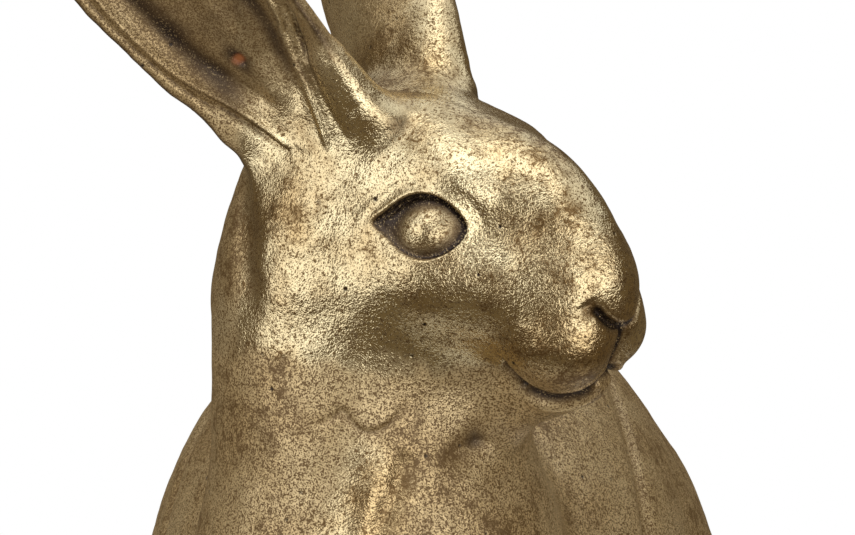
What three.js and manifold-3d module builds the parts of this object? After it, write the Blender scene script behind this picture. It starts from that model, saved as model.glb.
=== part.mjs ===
// Rabbit figurine, sitting upright with its head turned to its left: hollow resin castings under
// metal leaf, joined by a dowel and pins. Millimetres, +Z up, chest towards -Y.
import * as THREE from 'three';
import { mergeVertices } from 'three/addons/utils/BufferGeometryUtils.js';
import Module from 'manifold-3d';

const wasm = await Module();
wasm.setup();

// Body: chest to rump, side to side, underside to back
const BODY_LENGTH = 210;
const BODY_WIDTH = 150;
const BODY_HEIGHT = 170;
const BODY_WALL = 7;

// Neck: where its axis stands behind the chest, its radii, and the seat that the head is joined on
const NECK_Y = -55;
const NECK_BASE_RADIUS = 41;
const NECK_TOP_RADIUS = 36;
const NECK_RISE = 15;
const NECK_SEAT_TILT = 20;
const NECK_FLOOR = 24;
const NECK_ROOT_DROP = 30;

// Head: nose to skull, side to side, crown to jaw, and how it is carried
const HEAD_LENGTH = 100;
const HEAD_WIDTH = 60;
const HEAD_DEPTH = 80;
const HEAD_WALL = 9;
const HEAD_FLOOR = 12;
const HEAD_TURN = 30;
const HEAD_ROLL = 7;
const HEAD_REACH = 36;
const EYE_RISE = 54;
const EYE_DIAMETER = 13;

// Ears: blade length and width, the rim before and behind its middle plane, how deep the cup is on
// the front and on the back, and how they are set
const EAR_LENGTH = 122;
const EAR_WIDTH = 52;
const EAR_RIM_FRONT = 1.6;
const EAR_RIM_BACK = 2.2;
const EAR_CUP_FRONT = 5.6;
const EAR_CUP_BACK = 9;
const EAR_RAKE = 31;
const EAR_SPLAY = 25;
const EAR_FACING = 8;
const EAR_ROOT_SINK = 18;

// Dowel, pins, tail
const DOWEL_DIAMETER = 30;
const DOWEL_IN_BODY = 18;
const DOWEL_IN_HEAD = 14;
const PIN_DIAMETER = 3;
const PIN_IN_HEAD = 10;
const PIN_IN_EAR = 14;
const PIN_BOSS = 5;
const TAIL_DIAMETER = 36;
const TAIL_PROUD = 5;
const TAIL_LEVEL = 44;

// Underside: closing board, the rim round it, the ledge that it seats on, and the pads
const BOARD_THICKNESS = 5;
const BOARD_RIM = 10;
const BOARD_LEDGE = 4;
const LEDGE_THICKNESS = 3;
const PAD_DIAMETER = 13;
const PAD_THICKNESS = 2;

// Clearance between joined pieces, and the radii that forms melt into each other with
const JOINT_GAP = 0.3;
const FIRM_BLEND = 5;
const SOFT_BLEND = 8;
const NECK_BLEND = 12;
const CHEST_BLEND = 18;

// Forms of the trunk, mirrored left to right: centre and radii in hundredths of width, length and height
const TRUNK_FORMS = [
  { name: 'barrel', at: [0, 18, 47], radii: [49.7, 49.5, 53], blend: 0 },
  { name: 'chest', at: [0, -26, 56], radii: [32.7, 20.5, 36.5], blend: CHEST_BLEND },
  { name: 'thigh', at: [30.7, 29.5, 39], radii: [22.7, 27.6, 36.5], blend: SOFT_BLEND },
  { name: 'brisket', at: [0, -23, 21], radii: [20, 16, 23.5], blend: SOFT_BLEND },
  { name: 'seat', at: [0, 16, 14], radii: [42, 45.7, 20], blend: SOFT_BLEND },
];
// Legs and feet, whose radii are in hundredths of the body's width
const LEGS = [
  { name: 'foreleg', from: [16, -29.5, 47], to: [12.7, -39, 8.2], radii: [13.3, 8], blend: SOFT_BLEND },
  { name: 'paw', from: [12.4, -40, 6.2], to: [12, -49, 5], radii: [8.2, 7.4], blend: FIRM_BLEND },
  { name: 'hind_foot', from: [37.3, -3.8, 5.9], to: [38.7, 42.9, 5.9], radii: [8, 8.7], blend: FIRM_BLEND },
];
const FRONT_PAD_PLACE = [12, -44];
const REAR_PAD_PLACE = [38.2, 30];

// Forms of the head, mirrored: hundredths of length (forward), width (left) and depth (up) from the
// midline at eye level, and how far each is pitched nose down, in degrees
const HEAD_FORMS = [
  { name: 'dome', at: [-6, 0, -19], radii: [44.5, 27, 44], pitch: 22, blend: 0 },
  { name: 'skull', at: [-27, 10, -2.5], radii: [30, 30, 34], pitch: 0, blend: SOFT_BLEND },
  { name: 'cheek', at: [-25, 20, -25], radii: [32, 27.5, 32.5], pitch: 0, blend: SOFT_BLEND },
  { name: 'brow', at: [-5, 17.5, 4], radii: [14, 17.5, 16], pitch: 0, blend: SOFT_BLEND },
  { name: 'bridge', at: [8, 3, -4], radii: [20, 15, 19], pitch: 32, blend: SOFT_BLEND },
  { name: 'face', at: [4, 15, -29], radii: [24, 18, 22.5], pitch: 0, blend: FIRM_BLEND },
  { name: 'snout', at: [17, 7, -27.5], radii: [17, 20, 17.5], pitch: 0, blend: SOFT_BLEND },
  { name: 'whisker_pad', at: [22.5, 11, -39], radii: [13.5, 14, 12], pitch: 0, blend: FIRM_BLEND },
  { name: 'nape', at: [-42, 13, -7.5], radii: [27, 35, 34], pitch: 0, blend: SOFT_BLEND },
];
const HEAD_LIMBS = [
  { name: 'jaw', from: [21, 0, -51], to: [-14, 0, -62.5], radii: [13.3, 25], blend: FIRM_BLEND },
];
const NECK_TOP_PLACE = [-44, -3.3, -37.5];
const EAR_ROOT_PLACE = [-37, 31.7, 20];
const EYE_PLACE = [-3, 29.5, -2.5];

// Ear along its length, in shares: how far along, half width there, and depth of the cup there
const EAR_OUTLINE = [
  { along: 0, half: 0.74, cup: 1 },
  { along: 0.12, half: 0.82, cup: 0.95 },
  { along: 0.34, half: 0.96, cup: 0.86 },
  { along: 0.52, half: 1, cup: 0.79 },
  { along: 0.72, half: 0.88, cup: 0.71 },
  { along: 0.86, half: 0.62, cup: 0.66 },
  { along: 0.95, half: 0.34, cup: 0.62 },
  { along: 1, half: 0.03, cup: 0.6 },
];

// Fineness of the meshes
const BODY_FACETS = 11;
const HEAD_FACETS = 10;
const HOLLOW_FACETS = 5;
const BALL_FACETS = 3;
const TAIL_FACETS = 4;
const LEG_STEPS = 4;
const LEG_FACETS = 20;
const EAR_STEPS = 14;
const EAR_CROSS_STEPS = 10;
const ROUND_FACETS = 32;
const FAR = 400;
const NEAR_ENOUGH = 0.01;
const SMALLEST_REACH = 0.5;
const REACH_STEPS = 400;
const REACH_SHARE = 0.7;

const radians = THREE.MathUtils.degToRad;

// Fields: negative inside, about the distance in mm outside
function melt(a, b, radius) {
  if (radius === 0) return Math.min(a, b);
  const h = THREE.MathUtils.clamp(0.5 + (0.5 * (b - a)) / radius, 0, 1);
  return b + (a - b) * h - radius * h * (1 - h);
}

function ellipsoidField(form, x, y, z) {
  let dx = x - form.centre.x;
  const dy = y - form.centre.y;
  let dz = z - form.centre.z;
  if (form.pitch) {
    const forward = dx * Math.cos(form.pitch) - dz * Math.sin(form.pitch);
    dz = dx * Math.sin(form.pitch) + dz * Math.cos(form.pitch);
    dx = forward;
  }
  const { x: rx, y: ry, z: rz } = form.size;
  const near = Math.hypot(dx / rx, dy / ry, dz / rz);
  const slope = Math.hypot(dx / rx ** 2, dy / ry ** 2, dz / rz ** 2);
  return (near * (near - 1)) / Math.max(slope, 1e-9);
}

function limbField(limb, x, y, z) {
  const { start, end } = limb;
  const run = [end.x - start.x, end.y - start.y, end.z - start.z];
  const off = [x - start.x, y - start.y, z - start.z];
  const reached = off[0] * run[0] + off[1] * run[1] + off[2] * run[2];
  const whole = run[0] ** 2 + run[1] ** 2 + run[2] ** 2;
  const h = THREE.MathUtils.clamp(reached / whole, 0, 1);
  const gap = Math.hypot(off[0] - run[0] * h, off[1] - run[1] * h, off[2] - run[2] * h);
  return gap - (limb.startRadius + (limb.endRadius - limb.startRadius) * h);
}

const share = (place, size) => new THREE.Vector3(...place).multiply(size).divideScalar(100);

function sizedForms(forms, size) {
  return forms.map((form) => ({
    name: form.name,
    centre: share(form.at, size),
    size: share(form.radii, size),
    pitch: radians(form.pitch ?? 0),
    blend: form.blend,
  }));
}

function sizedLimbs(limbs, size, gauge) {
  return limbs.map((limb) => ({
    start: share(limb.from, size),
    end: share(limb.to, size),
    startRadius: (limb.radii[0] * gauge) / 100,
    endRadius: (limb.radii[1] * gauge) / 100,
    blend: limb.blend,
  }));
}

// Distance field of forms and limbs, the same on both sides of the plane across the mirror axis
function massField(forms, limbs, mirror) {
  return (x, y, z) => {
    const mx = mirror === 'x' ? Math.abs(x) : x;
    const my = mirror === 'y' ? Math.abs(y) : y;
    let field = FAR;
    for (const form of forms) field = melt(field, ellipsoidField(form, mx, my, z), form.blend);
    for (const limb of limbs) field = melt(field, limbField(limb, mx, my, z), limb.blend);
    return field;
  };
}

// Sizes of body and head as vectors, and their masses as fields
const bodySize = new THREE.Vector3(BODY_WIDTH, BODY_LENGTH, BODY_HEIGHT);
const headSize = new THREE.Vector3(HEAD_LENGTH, HEAD_WIDTH, HEAD_DEPTH);
const trunkForms = sizedForms(TRUNK_FORMS, bodySize);
const legs = sizedLimbs(LEGS, bodySize, BODY_WIDTH);
const trunkField = massField(trunkForms, [], 'x');
const jawLimbs = sizedLimbs(HEAD_LIMBS, headSize, HEAD_WIDTH);
const headField = massField(sizedForms(HEAD_FORMS, headSize), jawLimbs, 'y');

// Seat of the head: a plane that clears the back just behind the neck
const barrel = trunkForms.find((form) => form.name === 'barrel');
const neckBack = NECK_Y + NECK_BASE_RADIUS;
const backLevel = barrel.centre.z
  + barrel.size.z * Math.sqrt(Math.max(0, 1 - ((neckBack - barrel.centre.y) / barrel.size.y) ** 2));
const seatLevel = backLevel + NECK_RISE - NECK_BASE_RADIUS * Math.tan(radians(NECK_SEAT_TILT));
const seatFrame = new THREE.Matrix4()
  .makeRotationX(radians(NECK_SEAT_TILT))
  .setPosition(0, NECK_Y, seatLevel);
const seatNormal = new THREE.Vector3(0, 0, 1).transformDirection(seatFrame);
const seatCentre = new THREE.Vector3().setFromMatrixPosition(seatFrame);
const aboveSeat = (x, y, z) => (x - seatCentre.x) * seatNormal.x
  + (y - seatCentre.y) * seatNormal.y + (z - seatCentre.z) * seatNormal.z;

// Frame of the head: forward, left and up from the midline at eye level
const headForward = new THREE.Vector3(Math.cos(radians(HEAD_TURN)), -Math.sin(radians(HEAD_TURN)), 0);
const headLeft = new THREE.Vector3(Math.sin(radians(HEAD_TURN)), Math.cos(radians(HEAD_TURN)), 0)
  .applyAxisAngle(headForward, radians(HEAD_ROLL));
const headUp = new THREE.Vector3().crossVectors(headForward, headLeft);
const headOrigin = new THREE.Vector3(0, NECK_Y, seatLevel + EYE_RISE)
  .addScaledVector(headForward, HEAD_REACH);
const headFrame = new THREE.Matrix4().makeBasis(headForward, headLeft, headUp).setPosition(headOrigin);
const headInverse = headFrame.clone().invert();

// Neck: from the nape down into the chest
const neckLimb = {
  start: share(NECK_TOP_PLACE, headSize).applyMatrix4(headFrame),
  end: new THREE.Vector3(0, NECK_Y, seatLevel - NECK_ROOT_DROP),
  startRadius: NECK_TOP_RADIUS,
  endRadius: NECK_BASE_RADIUS,
};

const probe = new THREE.Vector3();
function figureField(x, y, z) {
  probe.set(x, y, z).applyMatrix4(headInverse);
  const head = headField(probe.x, probe.y, probe.z);
  const neck = melt(head, limbField(neckLimb, x, y, z), NECK_BLEND);
  return melt(neck, trunkField(x, y, z), NECK_BLEND);
}

// A field seen from inside a frame
function fieldIn(frame, field) {
  return (x, y, z) => {
    const place = new THREE.Vector3(x, y, z).applyMatrix4(frame);
    return field(place.x, place.y, place.z);
  };
}

// How far out a ray from the core last leaves the field
function reachOf(field, core, direction) {
  let reach = FAR;
  for (let step = 0; step < REACH_STEPS && reach > SMALLEST_REACH; step += 1) {
    const x = core.x + direction.x * reach;
    const y = core.y + direction.y * reach;
    const z = core.z + direction.z * reach;
    const gap = field(x, y, z);
    if (gap < NEAR_ENOUGH) break;
    reach -= gap * REACH_SHARE;
  }
  return Math.max(reach, SMALLEST_REACH);
}

// A ball whose points are drawn in along their rays until they lie on the field's surface
function wrap(field, core, facets) {
  const ball = new THREE.IcosahedronGeometry(1, facets);
  ball.deleteAttribute('normal');
  ball.deleteAttribute('uv');
  const skin = mergeVertices(ball, 1e-5);
  const points = skin.getAttribute('position');
  const direction = new THREE.Vector3();
  for (let i = 0; i < points.count; i += 1) {
    direction.fromBufferAttribute(points, i).normalize();
    const spot = direction.clone().multiplyScalar(reachOf(field, core, direction)).add(core);
    points.setXYZ(i, spot.x, spot.y, spot.z);
  }
  return skin;
}

// Solids from closed geometries, joined and cut
function solid(geometry, frame) {
  const bare = geometry.clone();
  for (const name of Object.keys(bare.attributes)) {
    if (name !== 'position') bare.deleteAttribute(name);
  }
  if (frame) bare.applyMatrix4(frame);
  const merged = mergeVertices(bare, 1e-4);
  return new wasm.Manifold(new wasm.Mesh({
    numProp: 3,
    vertProperties: new Float32Array(merged.getAttribute('position').array),
    triVerts: new Uint32Array(merged.getIndex().array),
  }));
}

function geometryOf(body) {
  const mesh = body.getMesh();
  const geometry = new THREE.BufferGeometry();
  geometry.setAttribute('position', new THREE.BufferAttribute(new Float32Array(mesh.vertProperties), 3));
  geometry.setIndex(new THREE.BufferAttribute(new Uint32Array(mesh.triVerts), 1));
  geometry.computeVertexNormals();
  return geometry;
}

const shifted = (x, y, z) => new THREE.Matrix4().makeTranslation(x, y, z);

// A round bar along Z, from low to high
function bar(diameter, low, high) {
  const round = new THREE.CylinderGeometry(diameter / 2, diameter / 2, high - low, ROUND_FACETS);
  return round.rotateX(Math.PI / 2).translate(0, 0, (low + high) / 2);
}

// Everything on one side of a level, as a block to cut with
const blockAbove = (level) => new THREE.BoxGeometry(2 * FAR, 2 * FAR, FAR).translate(0, 0, level + FAR / 2);
const blockBelow = (level) => new THREE.BoxGeometry(2 * FAR, 2 * FAR, FAR).translate(0, 0, level - FAR / 2);

// Finishes
function finish(color, roughness, metalness) {
  return new THREE.MeshStandardMaterial({ color, roughness, metalness });
}
const GILT = finish(0x9c7c45, 0.36, 1);
const GILT_EAR = finish(0x917240, 0.4, 1);
const STEEL = finish(0xb4b6b8, 0.3, 1);
const BEECH = finish(0xc9a06a, 0.6, 0);
const BOARD = finish(0x7a5a3a, 0.8, 0);
const FELT = finish(0x2b2a28, 0.95, 0);

function node(name, geometry, material) {
  const mesh = new THREE.Mesh(geometry, material.clone());
  mesh.name = name;
  return mesh;
}

// Ears: a bowed blade, across x, facing y, along z from its root on the head
const earAxis = new THREE.Vector3(-Math.tan(radians(EAR_RAKE)), Math.tan(radians(EAR_SPLAY)), 1)
  .normalize();
const earFacing = new THREE.Vector3(Math.sin(radians(EAR_FACING)), Math.cos(radians(EAR_FACING)), 0);

function earFrame(side) {
  const along = earAxis.clone();
  const facing = earFacing.clone().addScaledVector(along, -earFacing.dot(along)).normalize();
  const across = new THREE.Vector3().crossVectors(facing, along);
  for (const axis of [along, facing, across]) axis.y *= side;
  const root = share(EAR_ROOT_PLACE, headSize);
  root.y *= side;
  return new THREE.Matrix4().makeBasis(across.multiplyScalar(side), facing, along).setPosition(root);
}

// Half width or cup of the outline, at a share t along the ear
function earShare(t, which) {
  const at = THREE.MathUtils.clamp(t, 0, 1);
  const next = Math.max(1, EAR_OUTLINE.findIndex((row) => row.along >= at));
  const low = EAR_OUTLINE[next - 1];
  const high = EAR_OUTLINE[next];
  return THREE.MathUtils.lerp(low[which], high[which], (at - low.along) / (high.along - low.along));
}

// Depth of the blade's back or front face, at a share u across it
function earFace(t, u, front) {
  const cupped = earShare(t, 'cup') * (1 - u * u);
  return front ? EAR_RIM_FRONT - EAR_CUP_FRONT * cupped : -EAR_RIM_BACK - EAR_CUP_BACK * cupped;
}

function earBlade(side) {
  const start = -EAR_ROOT_SINK / EAR_LENGTH;
  const positions = [];
  const index = [];
  const ring = 2 * (EAR_CROSS_STEPS + 1);
  for (let i = 0; i <= EAR_STEPS; i += 1) {
    const t = start + (1 - start) * Math.sin((Math.PI / 2) * (i / EAR_STEPS));
    for (let k = 0; k < ring; k += 1) {
      const front = k <= EAR_CROSS_STEPS;
      const u = 1 - (2 * (front ? k : ring - 1 - k)) / EAR_CROSS_STEPS;
      const halfWidth = (EAR_WIDTH / 2) * earShare(t, 'half');
      positions.push(side * u * halfWidth, earFace(t, u, front), t * EAR_LENGTH);
    }
  }
  const face = (a, b, c) => index.push(...(side > 0 ? [a, b, c] : [a, c, b]));
  for (let i = 0; i < EAR_STEPS; i += 1) {
    for (let k = 0; k < ring; k += 1) {
      const a = i * ring + k;
      const b = i * ring + ((k + 1) % ring);
      face(a, b, b + ring);
      face(a, b + ring, a + ring);
    }
  }
  const top = EAR_STEPS * ring;
  for (let k = 0; k < EAR_CROSS_STEPS; k += 1) {
    const back = ring - 1 - k;
    face(k, back, k + 1);
    face(k + 1, back, back - 1);
    face(top + k, top + k + 1, top + back);
    face(top + k + 1, top + back - 1, top + back);
  }
  const blade = new THREE.BufferGeometry();
  blade.setAttribute('position', new THREE.Float32BufferAttribute(positions, 3));
  blade.setIndex(index);
  return blade;
}

// Pins: along each ear's axis, through the thickest part of its root
const SIDES = [['left', 1], ['right', -1]];
const pinDepth = (earFace(0, 0, true) + earFace(0, 0, false)) / 2;
const headFigure = fieldIn(headFrame, figureField);

function pinFrame(side) {
  const frame = earFrame(side);
  const foot = new THREE.Vector3(0, pinDepth, 0).applyMatrix4(frame);
  const along = new THREE.Vector3(0, 0, 1).transformDirection(frame);
  const core = foot.clone().addScaledVector(along, -EAR_ROOT_SINK);
  const level = reachOf(headFigure, core, along) - EAR_ROOT_SINK;
  return frame.clone().multiply(shifted(0, pinDepth, level));
}

// Castings of the head, in the head's own frame
const headCore = share([-20, 0, -20], headSize);
const seatInHead = headInverse.clone().multiply(seatFrame);
const headAboveSeat = fieldIn(headFrame, aboveSeat);
const headPiece = (x, y, z) => Math.max(headFigure(x, y, z), -headAboveSeat(x, y, z) - FIRM_BLEND);
const headSkin = solid(wrap(headPiece, headCore, HEAD_FACETS));
const headSkinEased = solid(wrap((x, y, z) => headPiece(x, y, z) - JOINT_GAP, headCore, HEAD_FACETS));

function headHollowField() {
  const bosses = SIDES.map(([, side]) => {
    const frame = pinFrame(side);
    return {
      start: new THREE.Vector3(0, 0, -PIN_IN_HEAD - JOINT_GAP).applyMatrix4(frame),
      end: new THREE.Vector3().applyMatrix4(frame),
      startRadius: PIN_DIAMETER / 2 + PIN_BOSS,
      endRadius: PIN_DIAMETER / 2 + PIN_BOSS,
    };
  });
  return (x, y, z) => {
    const bossed = Math.max(...bosses.map((boss) => -limbField(boss, x, y, z)));
    return Math.max(headFigure(x, y, z) + HEAD_WALL, HEAD_FLOOR - headAboveSeat(x, y, z), bossed);
  };
}

function headCasting() {
  let casting = headSkin;
  const eye = share(EYE_PLACE, headSize);
  for (const [, side] of SIDES) {
    const ball = new THREE.IcosahedronGeometry(EYE_DIAMETER / 2, BALL_FACETS);
    casting = casting.add(solid(ball, shifted(eye.x, eye.y * side, eye.z)));
  }
  casting = casting.subtract(solid(wrap(headHollowField(), headCore, HOLLOW_FACETS)));
  casting = casting.subtract(solid(blockBelow(JOINT_GAP / 2), seatInHead));
  const bore = bar(DOWEL_DIAMETER + 2 * JOINT_GAP, -HEAD_FLOOR, 2 * HEAD_FLOOR);
  casting = casting.subtract(solid(bore, seatInHead));
  for (const [, side] of SIDES) {
    const hole = bar(PIN_DIAMETER + 2 * JOINT_GAP, -PIN_IN_HEAD - JOINT_GAP, EAR_ROOT_SINK);
    casting = casting.subtract(solid(hole, pinFrame(side)));
  }
  return geometryOf(casting);
}

// Castings of the body
const underside = PAD_THICKNESS + JOINT_GAP;
const bodyCore = share([0, 10, 45], bodySize);
const bodyPiece = (x, y, z) => Math.max(figureField(x, y, z), aboveSeat(x, y, z) - FIRM_BLEND);
const bodySkin = solid(wrap(bodyPiece, bodyCore, BODY_FACETS));

const seatForm = trunkForms.find((form) => form.name === 'seat');
const boardTop = underside + BOARD_THICKNESS;
const boardShare = Math.sqrt(1 - ((seatForm.centre.z - underside) / seatForm.size.z) ** 2);
const boardHalf = new THREE.Vector2(seatForm.size.x, seatForm.size.y)
  .multiplyScalar(boardShare)
  .subScalar(BOARD_RIM);

// An oval slab round the middle of the seat, from low to high
function ovalSlab(inset, low, high) {
  const outline = new THREE.Shape();
  outline.absellipse(0, seatForm.centre.y, boardHalf.x - inset, boardHalf.y - inset, 0, 2 * Math.PI);
  const settings = { depth: high - low, bevelEnabled: false, curveSegments: ROUND_FACETS };
  return new THREE.ExtrudeGeometry(outline, settings).translate(0, 0, low);
}

// A leg or foot by itself: a tapered bar with round ends, on either side
function legSolid(leg, side) {
  const start = leg.start.clone().setX(leg.start.x * side);
  const run = leg.end.clone().setX(leg.end.x * side).sub(start);
  const length = run.length();
  const profile = [];
  for (let i = 0; i <= LEG_STEPS; i += 1) {
    const turn = (Math.PI / 2) * (i / LEG_STEPS);
    profile.push(new THREE.Vector2(leg.startRadius * Math.sin(turn), -leg.startRadius * Math.cos(turn)));
  }
  for (let i = LEG_STEPS; i >= 0; i -= 1) {
    const turn = (Math.PI / 2) * (i / LEG_STEPS);
    const out = leg.endRadius * Math.sin(turn);
    profile.push(new THREE.Vector2(out, length + leg.endRadius * Math.cos(turn)));
  }
  const lean = new THREE.Quaternion().setFromUnitVectors(new THREE.Vector3(0, 1, 0), run.normalize());
  const place = new THREE.Matrix4().makeRotationFromQuaternion(lean).setPosition(start);
  return solid(new THREE.LatheGeometry(profile, LEG_FACETS), place);
}

function bodyCasting() {
  let casting = bodySkin;
  for (const leg of legs) {
    for (const [, side] of SIDES) casting = casting.add(legSolid(leg, side));
  }
  const low = boardTop + JOINT_GAP;
  const hollow = (x, y, z) => Math.max(
    figureField(x, y, z) + BODY_WALL,
    aboveSeat(x, y, z) + NECK_FLOOR,
    low + LEDGE_THICKNESS - z,
  );
  casting = casting.subtract(solid(wrap(hollow, bodyCore, HOLLOW_FACETS)));
  const opening = ovalSlab(BOARD_LEDGE, low - LEDGE_THICKNESS, low + 2 * LEDGE_THICKNESS);
  casting = casting.subtract(solid(opening));
  casting = casting.subtract(solid(ovalSlab(-JOINT_GAP, underside - BOARD_THICKNESS, low)));
  casting = casting.subtract(solid(blockBelow(underside)));
  casting = casting.subtract(solid(blockAbove(-JOINT_GAP / 2), seatFrame));
  const bore = bar(DOWEL_DIAMETER + 2 * JOINT_GAP, -DOWEL_IN_BODY - JOINT_GAP, FIRM_BLEND);
  casting = casting.subtract(solid(bore, seatFrame));
  return geometryOf(casting);
}

function ear(side) {
  const inEar = earFrame(side).invert();
  const hole = bar(PIN_DIAMETER + 2 * JOINT_GAP, -EAR_ROOT_SINK, PIN_IN_EAR + JOINT_GAP);
  return geometryOf(solid(earBlade(side))
    .subtract(headSkinEased.transform(inEar.elements))
    .subtract(solid(hole, inEar.clone().multiply(pinFrame(side)))));
}

// Tail: a ball seated on the rump
const tailCore = new THREE.Vector3(0, barrel.centre.y, TAIL_LEVEL);
const rump = barrel.centre.y + reachOf(figureField, tailCore, new THREE.Vector3(0, 1, 0));
const tailCentre = new THREE.Vector3(0, rump + TAIL_PROUD, TAIL_LEVEL);

function tail() {
  const eased = solid(wrap((x, y, z) => bodyPiece(x, y, z) - JOINT_GAP, bodyCore, BODY_FACETS));
  const tuft = new THREE.IcosahedronGeometry(TAIL_DIAMETER / 2, TAIL_FACETS);
  return geometryOf(solid(tuft, shifted(...tailCentre.toArray())).subtract(eased));
}

// The figurine, standing on its pads with the middle of its box over the origin
const figurine = new THREE.Group();
figurine.add(node('body_casting', bodyCasting(), GILT));

const headGroup = new THREE.Group();
headGroup.applyMatrix4(headFrame);
headGroup.add(node('head_casting', headCasting(), GILT));
for (const [name, side] of SIDES) {
  const earGroup = new THREE.Group();
  earGroup.applyMatrix4(earFrame(side));
  earGroup.add(node(`${name}_ear`, ear(side), GILT_EAR));
  headGroup.add(earGroup);
  const pinGroup = new THREE.Group();
  pinGroup.applyMatrix4(pinFrame(side));
  pinGroup.add(node(`${name}_ear_pin`, bar(PIN_DIAMETER, -PIN_IN_HEAD, PIN_IN_EAR), STEEL));
  headGroup.add(pinGroup);
}
figurine.add(headGroup);

const neckGroup = new THREE.Group();
neckGroup.applyMatrix4(seatFrame);
neckGroup.add(node('neck_dowel', bar(DOWEL_DIAMETER, -DOWEL_IN_BODY, DOWEL_IN_HEAD), BEECH));
figurine.add(neckGroup);

figurine.add(node('tail', tail(), GILT));
figurine.add(node('base_board', ovalSlab(0, underside, boardTop), BOARD));

for (const [end, place] of [['front', FRONT_PAD_PLACE], ['rear', REAR_PAD_PLACE]]) {
  for (const [name, side] of SIDES) {
    const pad = node(`${end}_${name}_pad`, bar(PAD_DIAMETER, 0, PAD_THICKNESS), FELT);
    const spot = share([place[0] * side, place[1], 0], bodySize);
    pad.position.set(spot.x, spot.y, 0);
    figurine.add(pad);
  }
}

figurine.updateMatrixWorld(true);
const box = new THREE.Box3().setFromObject(figurine, true);
const middle = box.getCenter(new THREE.Vector3());
figurine.position.set(-middle.x, -middle.y, -box.min.z);

export default figurine;
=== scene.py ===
"""Rabbit figurine under antiqued brass leaf: the sculpted surfaces and finishes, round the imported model."""
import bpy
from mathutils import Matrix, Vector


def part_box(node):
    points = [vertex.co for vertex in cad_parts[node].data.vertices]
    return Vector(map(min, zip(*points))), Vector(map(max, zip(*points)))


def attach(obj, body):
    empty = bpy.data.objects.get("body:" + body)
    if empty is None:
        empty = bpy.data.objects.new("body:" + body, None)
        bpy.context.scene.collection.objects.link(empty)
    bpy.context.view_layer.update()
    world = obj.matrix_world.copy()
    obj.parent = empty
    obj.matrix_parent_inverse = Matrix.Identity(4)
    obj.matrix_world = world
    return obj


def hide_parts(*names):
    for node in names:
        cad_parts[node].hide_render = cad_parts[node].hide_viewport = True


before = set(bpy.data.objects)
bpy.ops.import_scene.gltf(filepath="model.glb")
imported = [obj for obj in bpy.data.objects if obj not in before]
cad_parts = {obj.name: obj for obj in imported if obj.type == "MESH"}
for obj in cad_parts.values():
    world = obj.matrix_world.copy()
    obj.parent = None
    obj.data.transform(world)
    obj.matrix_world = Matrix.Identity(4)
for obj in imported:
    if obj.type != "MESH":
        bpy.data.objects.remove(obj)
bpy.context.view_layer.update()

from concurrent.futures import ThreadPoolExecutor
from math import cos, pi, radians, sin, sqrt, tan

import bmesh
import bpy
import numpy as np
from mathutils import Matrix, Vector

MM = 0.001

# Body: chest to rump, side to side, underside to back, in mm
BODY_LENGTH = 210
BODY_WIDTH = 150
BODY_HEIGHT = 170
BODY_SIZE = np.array([BODY_WIDTH, BODY_LENGTH, BODY_HEIGHT], float)

# Neck and the seat that the head is joined on
NECK_Y = -55
NECK_BASE_RADIUS = 41
NECK_TOP_RADIUS = 36
NECK_RISE = 15
NECK_SEAT_TILT = 20
NECK_ROOT_DROP = 30

# Head: nose to skull, side to side, crown to jaw
HEAD_LENGTH = 100
HEAD_WIDTH = 60
HEAD_DEPTH = 80
HEAD_SIZE = np.array([HEAD_LENGTH, HEAD_WIDTH, HEAD_DEPTH], float)
HEAD_TURN = 30
HEAD_ROLL = 7
HEAD_REACH = 36
EYE_RISE = 54
EYE_BALL_RADIUS = 8

# Ears: the blade, its rim and cup, and how it is set
EAR_LENGTH = 122
EAR_WIDTH = 52
EAR_RIM_FRONT = 1.6
EAR_RIM_BACK = 2.2
EAR_CUP_BACK = 9
EAR_CUP_FRONT = 5.6
EAR_RAKE = 31
EAR_SPLAY = 25
EAR_FACING = 8
EAR_CUT = 5

# Tail: the ball that its fur stands on, how far its locks may reach, and how it is set
TAIL_BALL = np.array([17.0, 16.8, 18.0])
TAIL_REACH = np.array([18.6, 18.2, 19.6])
TAIL_PROUD = 5
TAIL_LEVEL = 44

# Underside: the level of the casting's foot, and the board that closes it
UNDERSIDE = 2.3
BOARD_THICKNESS = 5
BOARD_RIM = 10
JOINT_GAP = 0.3

# Radii that forms melt into each other with
FIRM_BLEND = 5
SOFT_BLEND = 8
NECK_BLEND = 12
CHEST_BLEND = 18
EAR_BLEND = 6
WEB_BLEND = 6

# Forms of the trunk, mirrored: centre and radii in hundredths of width, length and height, and the blend
TRUNK_FORMS = {
    "barrel": ((0, 18, 47), (49.7, 49.5, 53), 0),
    "chest": ((0, -26, 56), (32.7, 20.5, 36.5), CHEST_BLEND),
    "thigh": ((30.7, 29.5, 39), (22.7, 27.6, 36.5), SOFT_BLEND),
    "brisket": ((0, -23, 21), (20, 16, 23.5), SOFT_BLEND),
    "seat": ((0, 16, 14), (42, 45.7, 20), SOFT_BLEND),
}
# Legs and feet: ends, radii in hundredths of the body's width, and the blend
LEGS = {
    "foreleg": ((16, -29.5, 47), (12.7, -39, 8.2), (13.3, 8), SOFT_BLEND),
    "paw": ((12.4, -40, 6.2), (12, -49, 5), (8.2, 7.4), FIRM_BLEND),
    "hind_foot": ((37.3, -3.8, 5.9), (38.7, 42.9, 5.9), (8, 8.7), FIRM_BLEND),
}
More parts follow.
